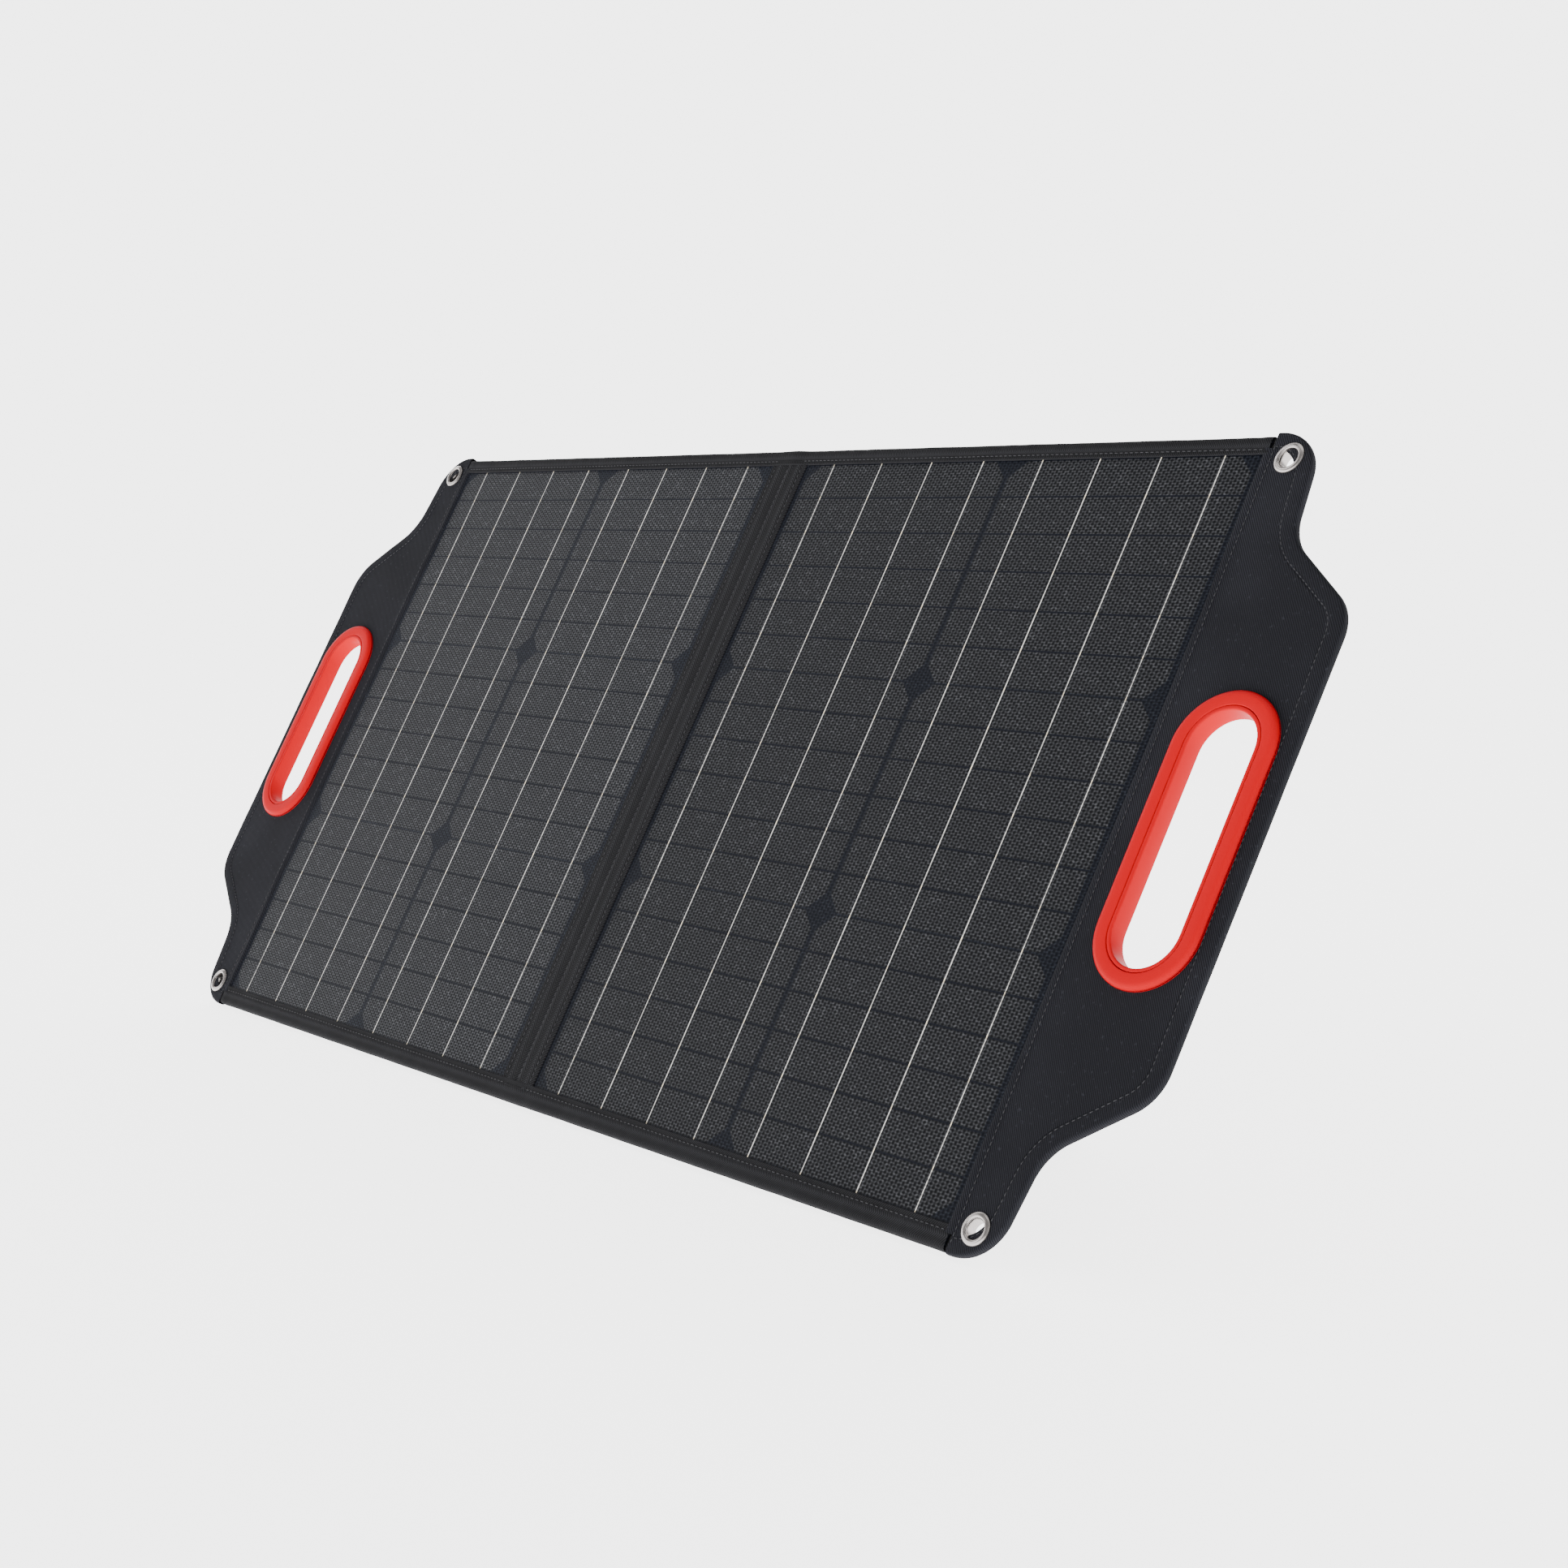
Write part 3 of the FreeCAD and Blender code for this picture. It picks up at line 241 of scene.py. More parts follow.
class Skin:
    """A material being wired: every method adds a node and returns its output."""

    def __init__(self, name, **plain):
        self.made = bpy.data.materials.new(name)
        self.made.use_nodes = True
        self.tree = self.made.node_tree
        self.shader = self.tree.nodes["Principled BSDF"]
        for socket, value in plain.items():
            self.shader.inputs[socket.replace("_", " ")].default_value = value
        coords = self.tree.nodes.new("ShaderNodeTexCoord")
        self.flat, self.object = coords.outputs["UV"], coords.outputs["Object"]

    def feed(self, socket, value):
        """Joins an output to a socket, or sets the socket to a plain value."""
        if isinstance(value, bpy.types.NodeSocket):
            self.tree.links.new(value, socket)
        else:
            socket.default_value = value

    def math(self, kind, *values):
        """One arithmetic node."""
        node = self.tree.nodes.new("ShaderNodeMath")
        node.operation = kind
        for socket, value in zip(node.inputs, values):
            self.feed(socket, value)
        return node.outputs[0]

    def plus(self, a, b):
        return self.math("ADD", a, b)

    def minus(self, a, b):
        return self.math("SUBTRACT", a, b)

    def times(self, a, b):
        return self.math("MULTIPLY", a, b)

    def size(self, a):
        """How far a is from 0."""
        return self.math("ABSOLUTE", a)

    def step(self, value, low, high):
        """Rises smoothly from 0 to 1 as the value goes from low to high."""
        node = self.tree.nodes.new("ShaderNodeMapRange")
        node.interpolation_type = "SMOOTHSTEP"
        for socket, number in zip(node.inputs, (value, low, high, 0.0, 1.0)):
            self.feed(socket, number)
        return node.outputs[0]

    def wave(self, across, pitch):
        """A wave between -1 and 1 that repeats every pitch and is highest at 0."""
        return self.math("COSINE", self.math("MULTIPLY", across, 2 * math.pi / pitch))

    def total(self, start, *terms):
        """start plus each (share, output) pair's share of its output."""
        for share, output in terms:
            start = self.math("MULTIPLY_ADD", output, share, start)
        return start

    def millimetres(self):
        """The uv as two outputs in flat millimetres."""
        split = self.tree.nodes.new("ShaderNodeSeparateXYZ")
        self.feed(split.inputs[0], self.flat)
        return [self.math("MULTIPLY", split.outputs[k], 1000.0) for k in (0, 1)]

    def noise(self, scale, detail=2.0, coords=None, stretch=None):
        """Clouds from 0 to 1 whose lumps are about one scale-th of a metre across."""
        node = self.tree.nodes.new("ShaderNodeTexNoise")
        source = coords or self.object
        if stretch:
            mapping = self.tree.nodes.new("ShaderNodeMapping")
            self.feed(mapping.inputs["Vector"], source)
            mapping.inputs["Scale"].default_value = stretch
            source = mapping.outputs[0]
        self.feed(node.inputs["Vector"], source)
        node.inputs["Scale"].default_value = scale
        node.inputs["Detail"].default_value = detail
        return node.outputs[0]

    def chance(self, x, y):
        """A number from 0 to 1 that differs for every pair of whole numbers."""
        pair = self.tree.nodes.new("ShaderNodeCombineXYZ")
        self.feed(pair.inputs[0], x)
        self.feed(pair.inputs[1], y)
        node = self.tree.nodes.new("ShaderNodeTexWhiteNoise")
        node.noise_dimensions = "2D"
        self.feed(node.inputs["Vector"], pair.outputs[0])
        return node.outputs["Value"]

    def mix(self, factor, low, high):
        """Blends two colours: low where the factor is 0, high where it is 1."""
        node = self.tree.nodes.new("ShaderNodeMix")
        node.data_type = "RGBA"
        self.feed(node.inputs["Factor"], factor)
        for name, colour in (("A", low), ("B", high)):
            socket = [s for s in node.inputs if s.name == name and s.type == "RGBA"][0]
            self.feed(socket, colour if isinstance(colour, bpy.types.NodeSocket) else (*colour, 1.0))
        return [s for s in node.outputs if s.type == "RGBA"][0]

    def paint(self, colour):
        """Feeds the colour to the shader."""
        self.feed(self.shader.inputs["Base Color"], colour)
        return self

    def bump(self, height, deep, strength=1.0):
        """Tilts the shading by a height whose unit is deep millimetres."""
        node = self.tree.nodes.new("ShaderNodeBump")
        node.inputs["Strength"].default_value = strength
        node.inputs["Distance"].default_value = deep * 0.001
        self.feed(node.inputs["Height"], height)
        self.feed(self.shader.inputs["Normal"], node.outputs[0])
        return self


CELL_ACROSS, CELL_UP = 160.0, 130.0  # from one cell's middle to the next
CELL_HALF, CELL_HALF_UP = 78.3, 64.3  # half a cell, each way
CELL_CUT = 133.1  # across plus up, from the cell's middle to its cut corner
STRIP, RIBBON = 21.66, 39.19  # pitches of the thin dark lines and of the ribbons
COLUMN, ROW, PIT_ROW = 2.28, 1.55, 2.6  # pitches of the weave; its pits stagger every column


def film_skin(name, painted_panel_light):
    """Cells, gaps, ribbons and the film's woven grain, from the distance to each cell's middle."""
    s = Skin(name, Roughness=0.5, Specular_IOR_Level=0.07)
    x, y = s.millimetres()
    cell_x = s.size(s.minus(s.size(x), CELL_ACROSS / 2))
    up = s.minus(y, MIDDLE)
    cell_y = s.size(s.math("WRAP", up, CELL_UP / 2, -CELL_UP / 2))
    inside = s.step(s.minus(CELL_HALF, cell_x), -0.25, 0.25)
    inside = s.times(inside, s.step(s.minus(CELL_HALF_UP, cell_y), -0.25, 0.25))
    cut = s.minus(CELL_CUT, s.plus(cell_x, cell_y))
    inside = s.times(inside, s.step(cut, -0.3, 0.3))
    strip = s.size(s.math("WRAP", s.plus(up, STRIP / 2), STRIP / 2, -STRIP / 2))
    line = s.times(s.step(strip, 10.1, 10.5), 0.92)
    # the woven grain: columns and rows of thread, with pits that are staggered between columns. Its
    # bright threads are a painted sheen, and a few random threads get painted glints
    drift = s.times(s.minus(s.noise(45, 1, s.flat), 0.5), 1.1)
    across, along = s.plus(x, drift), s.plus(y, drift)
    pits = s.times(s.wave(across, 2 * COLUMN), s.wave(along, PIT_ROW))
    weave = s.total(0.5, (-0.22, s.wave(across, COLUMN)), (0.16, s.wave(along, ROW)), (0.30, pits))
    weave = s.math("MAXIMUM", weave, 0.0)
    column = s.math("FLOOR", s.math("DIVIDE", across, COLUMN))
    each = s.chance(column, s.math("FLOOR", s.math("DIVIDE", along, PIT_ROW / 2)))
    # painted glints: a few random threads are painted brighter
    painted_glint = s.step(each, 0.86, 1.0)
    shine = s.times(s.math("POWER", weave, 2.3), s.total(0.82, (0.25, each), (0.7, painted_glint)))
    # these colours are scaled by the panel's painted brightness: a painted reflection that makes the left
    # panel's film lighter than the right
    base = tuple(c * painted_panel_light for c in (0.0020, 0.0024, 0.0036))
    # the colour of the weave's painted sheen, on the cells and, dimmer, in the gaps
    bright = tuple(c * painted_panel_light for c in (0.0985, 0.1005, 0.110))
    cell = s.mix(line, s.mix(shine, base, bright), (0.0025, 0.0035, 0.0075))
    gap = s.mix(shine, (0.0012, 0.0018, 0.0042), tuple(c * painted_panel_light for c in (0.030, 0.034, 0.046)))
    colour = s.mix(inside, gap, cell)
    # four ribbons, half a pitch and one and a half pitches from the cell's middle
    off_rail = s.size(s.minus(s.size(s.minus(cell_x, RIBBON)), RIBBON / 2))
    jog = s.times(s.minus(s.noise(26, 1, s.flat), 0.5), 0.28)
    rail = s.minus(1.0, s.step(s.plus(off_rail, jog), 0.12, 0.50))
    broken = s.total(0.30, (0.5, weave), (0.5, each))
    rail = s.times(rail, s.math("MINIMUM", broken, 1.0))
    spot = s.step(strip, 9.3, 10.2)
    metal = s.mix(spot, (0.74, 0.72, 0.69), (1.0, 0.88, 0.66))
    s.paint(s.mix(rail, colour, metal))
    return s.bump(s.total(weave, (0.7, inside), (-0.8, line)), 0.12, 0.7).made


def cloth_skin(name, colour, pitch=1.29, lean_back=0.71, deep=0.09):
    """Twill: fine ribs that lean back, with soft patches of lighter wear and a little fluff."""
    s = Skin(name, Roughness=0.86, Sheen_Weight=0.01, Sheen_Roughness=0.45, Specular_IOR_Level=0.07)
    x, y = s.millimetres()
    drift = s.noise(60, 2, s.flat)
    across = s.total(x, (lean_back, y), (0.7, drift))
    thread = s.wave(y, pitch * 0.55)
    rib = s.total(0.5, (0.42, s.wave(across, pitch)), (0.08, thread))
    wear = s.step(s.noise(14, 4), 0.35, 0.75)
    worn = s.mix(wear, tuple(c * 1.5 for c in colour), tuple(c * 2.4 for c in colour))
    body = s.mix(rib, tuple(c * 0.35 for c in colour), worn)
    fluff = s.step(s.noise(420, 2, s.flat), 0.62, 0.74)
    s.paint(s.mix(s.times(fluff, 0.35), body, tuple(c * 3.6 for c in colour)))
    return s.bump(rib, deep, 0.8).made


def tape_skin(name, colour, band=4.0, pitch=1.72, deep=0.14, along_u=False):
    """Herringbone tape: ribs that lean one way, then the other, across bands of one width."""
    s = Skin(name, Roughness=0.8, Sheen_Weight=0.01, Sheen_Roughness=0.4, Specular_IOR_Level=0.10)
    x, y = s.millimetres()
    if along_u:
        x, y = y, x
    zig = s.math("PINGPONG", x, band)
    rib = s.total(0.5, (0.5, s.wave(s.total(y, (0.86, zig), (0.6, s.noise(40, 2, s.flat))), pitch)))
    ridge = s.total(0.5, (0.34, s.wave(x, 2 * band)), (0.16, s.wave(x, band)))
    wear = s.step(s.noise(18, 4), 0.3, 0.75)
    dark = s.mix(ridge, tuple(c * 0.2 for c in colour), tuple(c * 0.7 for c in colour))
    light = s.mix(ridge, tuple(c * 1.3 for c in colour), tuple(c * 3.4 for c in colour))
    light = s.mix(s.times(wear, 0.3), light, tuple(c * 4.0 for c in colour))
    height = s.total(s.times(rib, 0.6), (0.8, ridge))
    return s.paint(s.mix(rib, dark, light)).bump(height, deep, 0.9).made


def moulded_skin(name, colour, rough=0.36, grain=900, deep=0.02, coat=0.0, specks=0.12, level=0.4):
    """Moulded plastic or rubber: one colour with faint clouds and a fine moulded grain."""
    s = Skin(name, Roughness=rough, Coat_Weight=coat, Coat_Roughness=0.25, Specular_IOR_Level=level)
    cloud = s.times(s.noise(24, 3), specks)
    s.paint(s.mix(cloud, colour, tuple(min(1.0, c * 1.4 + 0.002) for c in colour)))
    s.feed(s.shader.inputs["Roughness"], s.total(rough - 0.06, (0.12, s.noise(60, 3))))
    return s.bump(s.noise(grain, 2), deep, 0.5).made


def metal_skin(name, colour, rough=0.22):
    """Plated metal: bright, with fine scuffs that change its roughness."""
    s = Skin(name, Metallic=1.0, Roughness=rough)
    scuff = s.noise(160, 4, stretch=(1.0, 1.0, 6.0))
    s.paint(s.mix(scuff, tuple(c * 0.82 for c in colour), colour))
    s.feed(s.shader.inputs["Roughness"], s.total(rough - 0.08, (0.2, scuff)))
    return s.bump(scuff, 0.01, 0.4).made


# one film, two painted brightnesses: the left panel's film is painted lighter (0.85) than the right (0.64), a
# painted reflection
FILM = {"left": film_skin("film_left", 0.85), "right": film_skin("film_right", 0.64)}
CLOTH = cloth_skin("case_cloth", (0.0114, 0.0116, 0.0145))
TAPE = tape_skin("woven_tape", (0.0078, 0.0078, 0.0088))
TAPE_U = tape_skin("woven_tape_across", (0.0074, 0.0074, 0.0084), along_u=True, band=3.4, pitch=1.3)
THREAD = moulded_skin("thread", (0.03, 0.03, 0.034), rough=0.7, grain=3000, deep=0.05)
RED = moulded_skin("handle_plastic", (0.50, 0.0, 0.006), rough=0.42, specks=0.06, level=0.05)
NICKEL = metal_skin("nickel", (0.43, 0.40, 0.385), 0.24)
STEEL = metal_skin("steel", (0.60, 0.60, 0.62), 0.3)
BLACK = moulded_skin("box_plastic", (0.010, 0.010, 0.011), rough=0.55, deep=0.06, level=0.10)
RUBBER = moulded_skin("soft_rubber", (0.014, 0.014, 0.015), rough=0.66, deep=0.05, level=0.2)
ZIP = moulded_skin("zip_plastic", (0.02, 0.02, 0.022), rough=0.4)
CIRCUIT = moulded_skin("circuit", (0.01, 0.075, 0.03), rough=0.4, specks=0.5)
LENS = moulded_skin("lens", (0.30, 0.55, 0.30), rough=0.12, coat=0.5)
print(len(bpy.data.materials), "materials")

# %% Straight seams


def sew(name, start, end, body, **how):
    """A straight row of stitches between two flat points, which rides on a body."""
    thread = stitch(name, np.linspace(start, end, 2), THREAD, **how)
    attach(thread, body)


# %% [markdown]
# ## The film over the cells
# On the real case a clear woven-looking film is pressed over the cells, so the sheet is flat but
# never perfectly so. A picture of cells on a flat card would look dead at a low angle. Here the
# sheet is a grid that bows back slightly and puckers near the tapes, and the cells, ribbons and
# grain come from the material.

# %% Film sheets
for side, sign in SIDES.items():
    u, v = np.meshgrid(np.linspace(9, FILM_EDGE, 112), np.linspace(1.2, 411.2, 138), indexing="ij")
    edge = np.minimum(np.minimum(u - SPINE, SEAM - u), np.minimum(v - ACTIVE_LOW, ACTIVE_TOP - v))
    half_u, half_v = 163, 206
    crown = np.cos((u - PANEL_MIDDLE) / half_u * math.pi / 2)
    crown = crown * np.cos((v - MIDDLE) / half_v * math.pi / 2)
    bow = np.where(edge > 0, 0.21 * (1 - crown), 0)
    pucker = 0.112 * ripple(u, v, 45, 3 + sign) * np.exp(-np.maximum(edge, 0) / 14)
    w = bow - 0.12 + pucker + 0.05 * ripple(u, v, 90, 8 + sign)
    flat = np.stack([sign * u, v, w], -1)
    uv = np.stack([sign * (u - PANEL_MIDDLE), v], -1)
    film = grid(f"{side}_film_sheet", flat, FILM[side], uv=uv, facing=(0, 0, 1))
    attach(film, f"{side}_panel")
    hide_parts(f"{side}_film")
    print(film.name, len(film.data.polygons), "faces")

# %% [markdown]
# ## Binding tapes
# A ribbed tape is folded over the top and bottom edges and sewn through near its inner edge. It
# could be a plain box, but the eye looks for the rounded fold, the sewn dip and the small
# unevenness of cloth. So one rounded U profile is carried along the whole edge, across the spine,
# where the cloth lifts a little.

# %% Top and bottom bindings
profile = bend((-10.0, 0.0), (-9.9, 0.95, 0.35), (-8.2, 0.85, 0.8), (-7.4, 0.62, 0.5), (-6.4, 0.95, 0.8),
               (-0.2, 1.0, 2.6), (0.0, -2.5, 1.2), (-0.2, -5.9, 2.4), (-9.9, -5.9, 0.4), (-10.0, -4.9))
length = distance(profile)
u = np.linspace(-340.6, 340.6, 341)
for level, edge, inward in (("top", TOP, 1), ("bottom", 0.0, -1)):
    stretch = 1.0 if level == "top" else 1.24
    bump = 0.55 * np.exp(-((u / 9) ** 2)) + 0.35 * np.exp(-(((np.abs(u) - 338) / 4) ** 2))
    wave = 0.16 * ripple(u, 0, 34, 20 + inward) + 0.08 * ripple(u, 0, 9, 30 + inward)
    grow = (bump + wave)[:, None]
    front = np.clip((profile[:, 1] + 2.5) / 3.4, -1, 1)[None]
    v = edge + inward * (profile[None, :, 0] * stretch + 0.25 * grow * (profile[None, :, 0] > -5))
    flat = together(u[:, None], v, profile[None, :, 1] + grow * front * 0.8)
    uv = together(u[:, None], length[None])
    tape = grid(f"{level}_binding_tape", flat, TAPE_U, uv=uv, facing=(0, inward, 0.4))
    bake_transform(tape)
    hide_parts(f"left_{level}_binding", f"right_{level}_binding")
    for side, sign in SIDES.items():
        v = edge - inward * 7.6 * stretch
        sew(f"{side}_{level}_binding_thread", (sign * 11, v, 0.95), (sign * 338, v, 0.95), f"{side}_panel")
    print(tape.name, len(tape.data.polygons), "faces")

# %% [markdown]
# ## The spine
# One broad herringbone tape joins the two panels in front, sewn down its middle and near one
# edge, and a strip of case cloth joins them behind. Two rigid halves would leave a slit at the
# fold, so each is a single sheet that runs across from one panel to the other.

# %% Spine tapes
section = bend((-14.9, -0.6), (-14.7, 0.7, 0.4), (-12.2, 0.85, 1.0), (-11.6, 0.62, 0.4),
               (-10.9, 0.88, 0.6), (-2.2, 0.8, 1.0), (-0.4, 0.25, 0.8), (1.4, 0.85, 0.8),
               (10.6, 0.9, 0.8), (11.4, 0.6, 0.4), (12.1, 0.9, 0.8), (14.7, 0.8, 0.4), (14.9, -0.6))
v = np.linspace(6, 407, 200)[:, None]
u = section[None, :, 0] + 0.15 * ripple(v, 0, 60, 40)
w = section[None, :, 1] + 0.14 * ripple(v, section[None, :, 0] * 3, 40, 41)
spine = grid("spine_front_tape", together(u, v, w), TAPE, facing=(0, 0, 1))
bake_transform(spine)
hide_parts("left_spine_tape", "right_spine_tape")
u, v = np.meshgrid(np.linspace(-13, 13, 30), np.linspace(1.5, 411, 180), indexing="ij")
w = -5.35 - 0.35 * np.exp(-((u / 2.5) ** 2)) - 0.12 * ripple(u, v, 50, 44)
gusset = grid("spine_rear_cloth", np.stack([u, v, w], -1), CLOTH, facing=(0, 0, -1))
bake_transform(gusset)
for side, at in (("left", -11.6), ("right", 11.4)):
    sew(f"spine_{side}_thread", (at, 14, 0.85), (at, 401, 0.85), f"{side}_panel")
thread = stitch("spine_middle_thread", [(-0.4, 14, 0.5), (-0.4, 401, 0.5)], THREAD)
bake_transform(thread)
print(spine.name, gusset.name)

# %% [markdown]
# ## The handle flaps
# Each flap is a stiff cloth wing: two faces of twill turned over a board, with a rolled edge, a
# sewn line just inside it and cut-outs for the grip and the eyelets. A sheet cut to the outline
# would have a knife edge, so the rolled border is a profile carried round the outline, and the
# two faces fill what is left. The inner edge stays sewn to the panel while the rest swings.

# %% The flap's outline


def outline(step=1.6):
    """The right flap's outline from its upper seam corner to its lower one, as flat points
    measured from the seam and the flap's middle, with unit normals that look outwards. Circles
    are joined by the straight belts between them; a negative radius turns the other way."""
    upper = [(4.7, 182.6, 25.0), (60.7, 168.0, -29.0), (54.3, 103.6, 26.2)]
    circles = upper + [(x, -y, r) for x, y, r in reversed(upper)]
    ends = [np.array([3.0, 207.6]), np.array([4.7, 207.6])]
    for (ax, ay, ar), (bx, by, br) in zip(circles, circles[1:]):
        span, along = math.hypot(bx - ax, by - ay), math.atan2(by - ay, bx - ax)
        turn = along + math.pi / 2 - math.asin((ar - br) / span)
        away = np.array([math.cos(turn), math.sin(turn)])
        ends += [np.array([ax, ay]) + ar * away, np.array([bx, by]) + br * away]
    ends += [np.array([4.7, -207.6]), np.array([3.0, -207.6])]
    rows = [ends[0][None]]
    for k, (x, y, r) in enumerate(circles):
        a, b = (np.arctan2(*(ends[2 * k + n] - [x, y])[::-1]) for n in (1, 2))
        swing = (b - a + math.pi) % (2 * math.pi) - math.pi
        angle = a + np.linspace(0, swing, 60)
        rows.append(np.stack([x + abs(r) * np.cos(angle), y + abs(r) * np.sin(angle)], -1))
    rows.append(ends[-1][None])
    line = np.concatenate(rows)
    run = distance(line)
    keep = np.r_[True, np.diff(run) > 1e-6]
    line, run = line[keep], run[keep]
    s = np.linspace(0, run[-1], int(run[-1] / step))
    path = np.stack([np.interp(s, run, line[:, k]) for k in (0, 1)], -1)
    ahead = np.gradient(path, axis=0)
    ahead[[0, -1]] = ahead[[1, -2]]
    ahead /= np.linalg.norm(ahead, axis=1, keepdims=True)
    normal = np.stack([-ahead[:, 1], ahead[:, 0]], -1)
    normal[0], normal[-1] = (0, 1), (0, -1)
    return path, normal


def open_holes(x, y, holes):
    """Pushes grid points that fall inside a hole out to its rim, and says which quads stay. A
    hole is (x, y, half run, radius), with a half run for a slot."""
    inside_any = np.zeros(x.shape, bool)
    for hx, hy, run, radius in holes:
        cy = hy + np.clip(y - hy, -run, run)
        dx, dy = x - hx, y - cy
        far = np.hypot(dx, dy) + 1e-9
        inside = far < radius
        x = np.where(inside, hx + dx / far * radius, x)
        y = np.where(inside, cy + dy / far * radius, y)
        inside_any |= inside
    lost = inside_any[:-1, :-1] & inside_any[1:, :-1] & inside_any[1:, 1:] & inside_any[:-1, 1:]
    return x, y, ~lost


PATH, NORMAL = outline()
HOLES = [(GRIP_OUT, 0.0, GRIP_RUN, 22.0)] + [(EYELET_OUT, up, 0.0, 5.6) for up in (EYELET_UP, -EYELET_UP)]
print("outline", len(PATH), "points, widest", PATH[:, 0].max().round(1))

# %% Flap cloths, border and stitching
border = bend((-9.4, 0.30), (-8.4, 0.42, 0.5), (-6.8, 0.75, 0.8), (-0.3, 0.8, 1.4), (0.0, -1.7, 0.9),
              (-0.3, -4.2, 1.4), (-6.8, -4.1, 0.8), (-8.4, -3.8, 0.5), (-9.4, -3.7))
around = distance(border)
for side, sign in SIDES.items():
    centre = (PATH + [SEAM, FLAP_MIDDLE]) * [sign, 1]
    away = NORMAL * [sign, 1]
    spots = centre[:, None] + away[:, None] * border[None, :, :1]
    ease = 0.12 * ripple(centre[:, :1], centre[:, 1:], 40, 50 + sign)
    w = border[None, :, 1] + ease * np.clip((border[None, :, 1] + 1.7) / 2.5, -1, 1)
    uv = centre[:, None] + away[:, None] * (around[None, :, None] - 9.4)
    rim = grid(f"{side}_flap_border", raised(spots, w), CLOTH, uv=uv, facing=(sign, 0, 0))
    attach(rim, f"{side}_flap")
    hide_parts(f"{side}_flap_edge_tape")
    inner = PATH - NORMAL * 8.9
    rows = inner[inner[:, 0] > -0.5]
    rows = rows[np.r_[True, np.diff(rows[:, 1]) < -0.02]]
    t = np.linspace(0, 1, 34) ** 0.9
    start = -1.6
    for face, level, back in (("front", 0.32, False), ("rear", -3.72, True)):
        x, y = np.broadcast_arrays(start + t * (rows[:, :1] - start), rows[:, 1:])
        near = np.exp(-((x - 3.6) ** 2) / 1.6)
        out = 1 - near * 0.45
        if back:
            drop = -1.4 * np.exp(-((x - start) / 2.8) ** 2)
            w = level + np.where(x > start + 0.05, drop, 0.9) + 0.1 * ripple(x, y, 60, 61)
        else:
            fold = np.exp(-(np.maximum(x - 0.5, 0) / 3.2) ** 2) * 0.75 + 0.18
            w = level + np.where(x < start + 0.1, -0.9, fold * out) + 0.11 * ripple(x, y, 55, 60)
        x, y, keep = open_holes(x, y, HOLES)
        flat = np.stack([sign * (x + SEAM), y + FLAP_MIDDLE, w], -1)
        looks = (0, 0, -1 if back else 1)
        face_cloth = grid(f"{side}_flap_{face}_face", flat, CLOTH, facing=looks, keep=keep)
        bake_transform(face_cloth)
        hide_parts(f"{side}_flap_{face}_cloth")
    level = np.full((len(PATH), 1), 0.62)
    sewn = np.concatenate([centre - away * 8.0, level], -1)
    thread = stitch(f"{side}_flap_border_thread", sewn, THREAD, pitch=3.1, length=2.1)
    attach(thread, f"{side}_flap")
    u = sign * (SEAM + 3.9)
    sew(f"{side}_flap_seam_thread", (u, 4, 0.85), (u, 408, 0.85), f"{side}_flap", pitch=3.1, length=2.1)
    print(side, "flap", len(rim.data.polygons), len(face_cloth.data.polygons), "faces")

# %% [markdown]
# ## The grips
# The grip is two moulded rings that meet through the flap: a front flange with a fat rounded
# edge, and a rear ring whose sleeve lines the opening, so a thin parting line shows where they
# meet. Both are one profile carried round a slot-shaped path, which keeps the highlight running
# unbroken round the ends.

# %% Handle rings


def slot_path(run, steps=28):
    """Centres and unit normals round an upright slot: a half turn at each end of a straight run."""
    angle = np.linspace(0, math.pi, steps)
    straight = np.linspace(run, -run, 24)[1:-1]
    upper = together(0, run, np.cos(angle), np.sin(angle))
    left = together(0, straight, -1, 0)
    lower = together(0, -run, -np.cos(angle), -np.sin(angle))
    right = left * [1, -1, -1, 1]
    line = np.concatenate([upper, left, lower, right])
    return line[:, :2], line[:, 2:]


front_ring = bend((20.9, 0.2), (20.9, 3.7, 0.5), (28.6, 3.9, 2.9), (28.9, 1.2, 0.8),
                  (28.8, 0.2, 0.3), (27.6, 0.1))
rear_ring = bend((20.6, 0.0), (20.6, 3.5, 0.35), (18.6, 3.6, 0.9), (18.35, -2.0, 1.5), (18.6, -7.2, 1.0),
                 (28.6, -7.3, 2.8), (28.9, -4.4, 0.8), (28.2, -3.9, 0.3), (27.4, -3.8))
for side, sign in SIDES.items():
    centre, away = slot_path(GRIP_RUN)
    centre = centre + [sign * (SEAM + GRIP_OUT), FLAP_MIDDLE]
    for name, shape in (("front", front_ring), ("rear", rear_ring)):
        ring = sweep(f"{side}_grip_{name}", centre, away, shape, RED, loop=True)
        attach(ring, f"{side}_flap")
        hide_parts(f"{side}_handle_{name}_ring")
    print(side, "grip", len(ring.data.polygons), "faces")

# %% [markdown]
# ## Eyelets
# Each corner tab carries a bright pressed eyelet: a rolled flange in front whose lip dives into a
# deep barrel, and a washer behind. They are turned shapes, so one profile is spun in a circle.

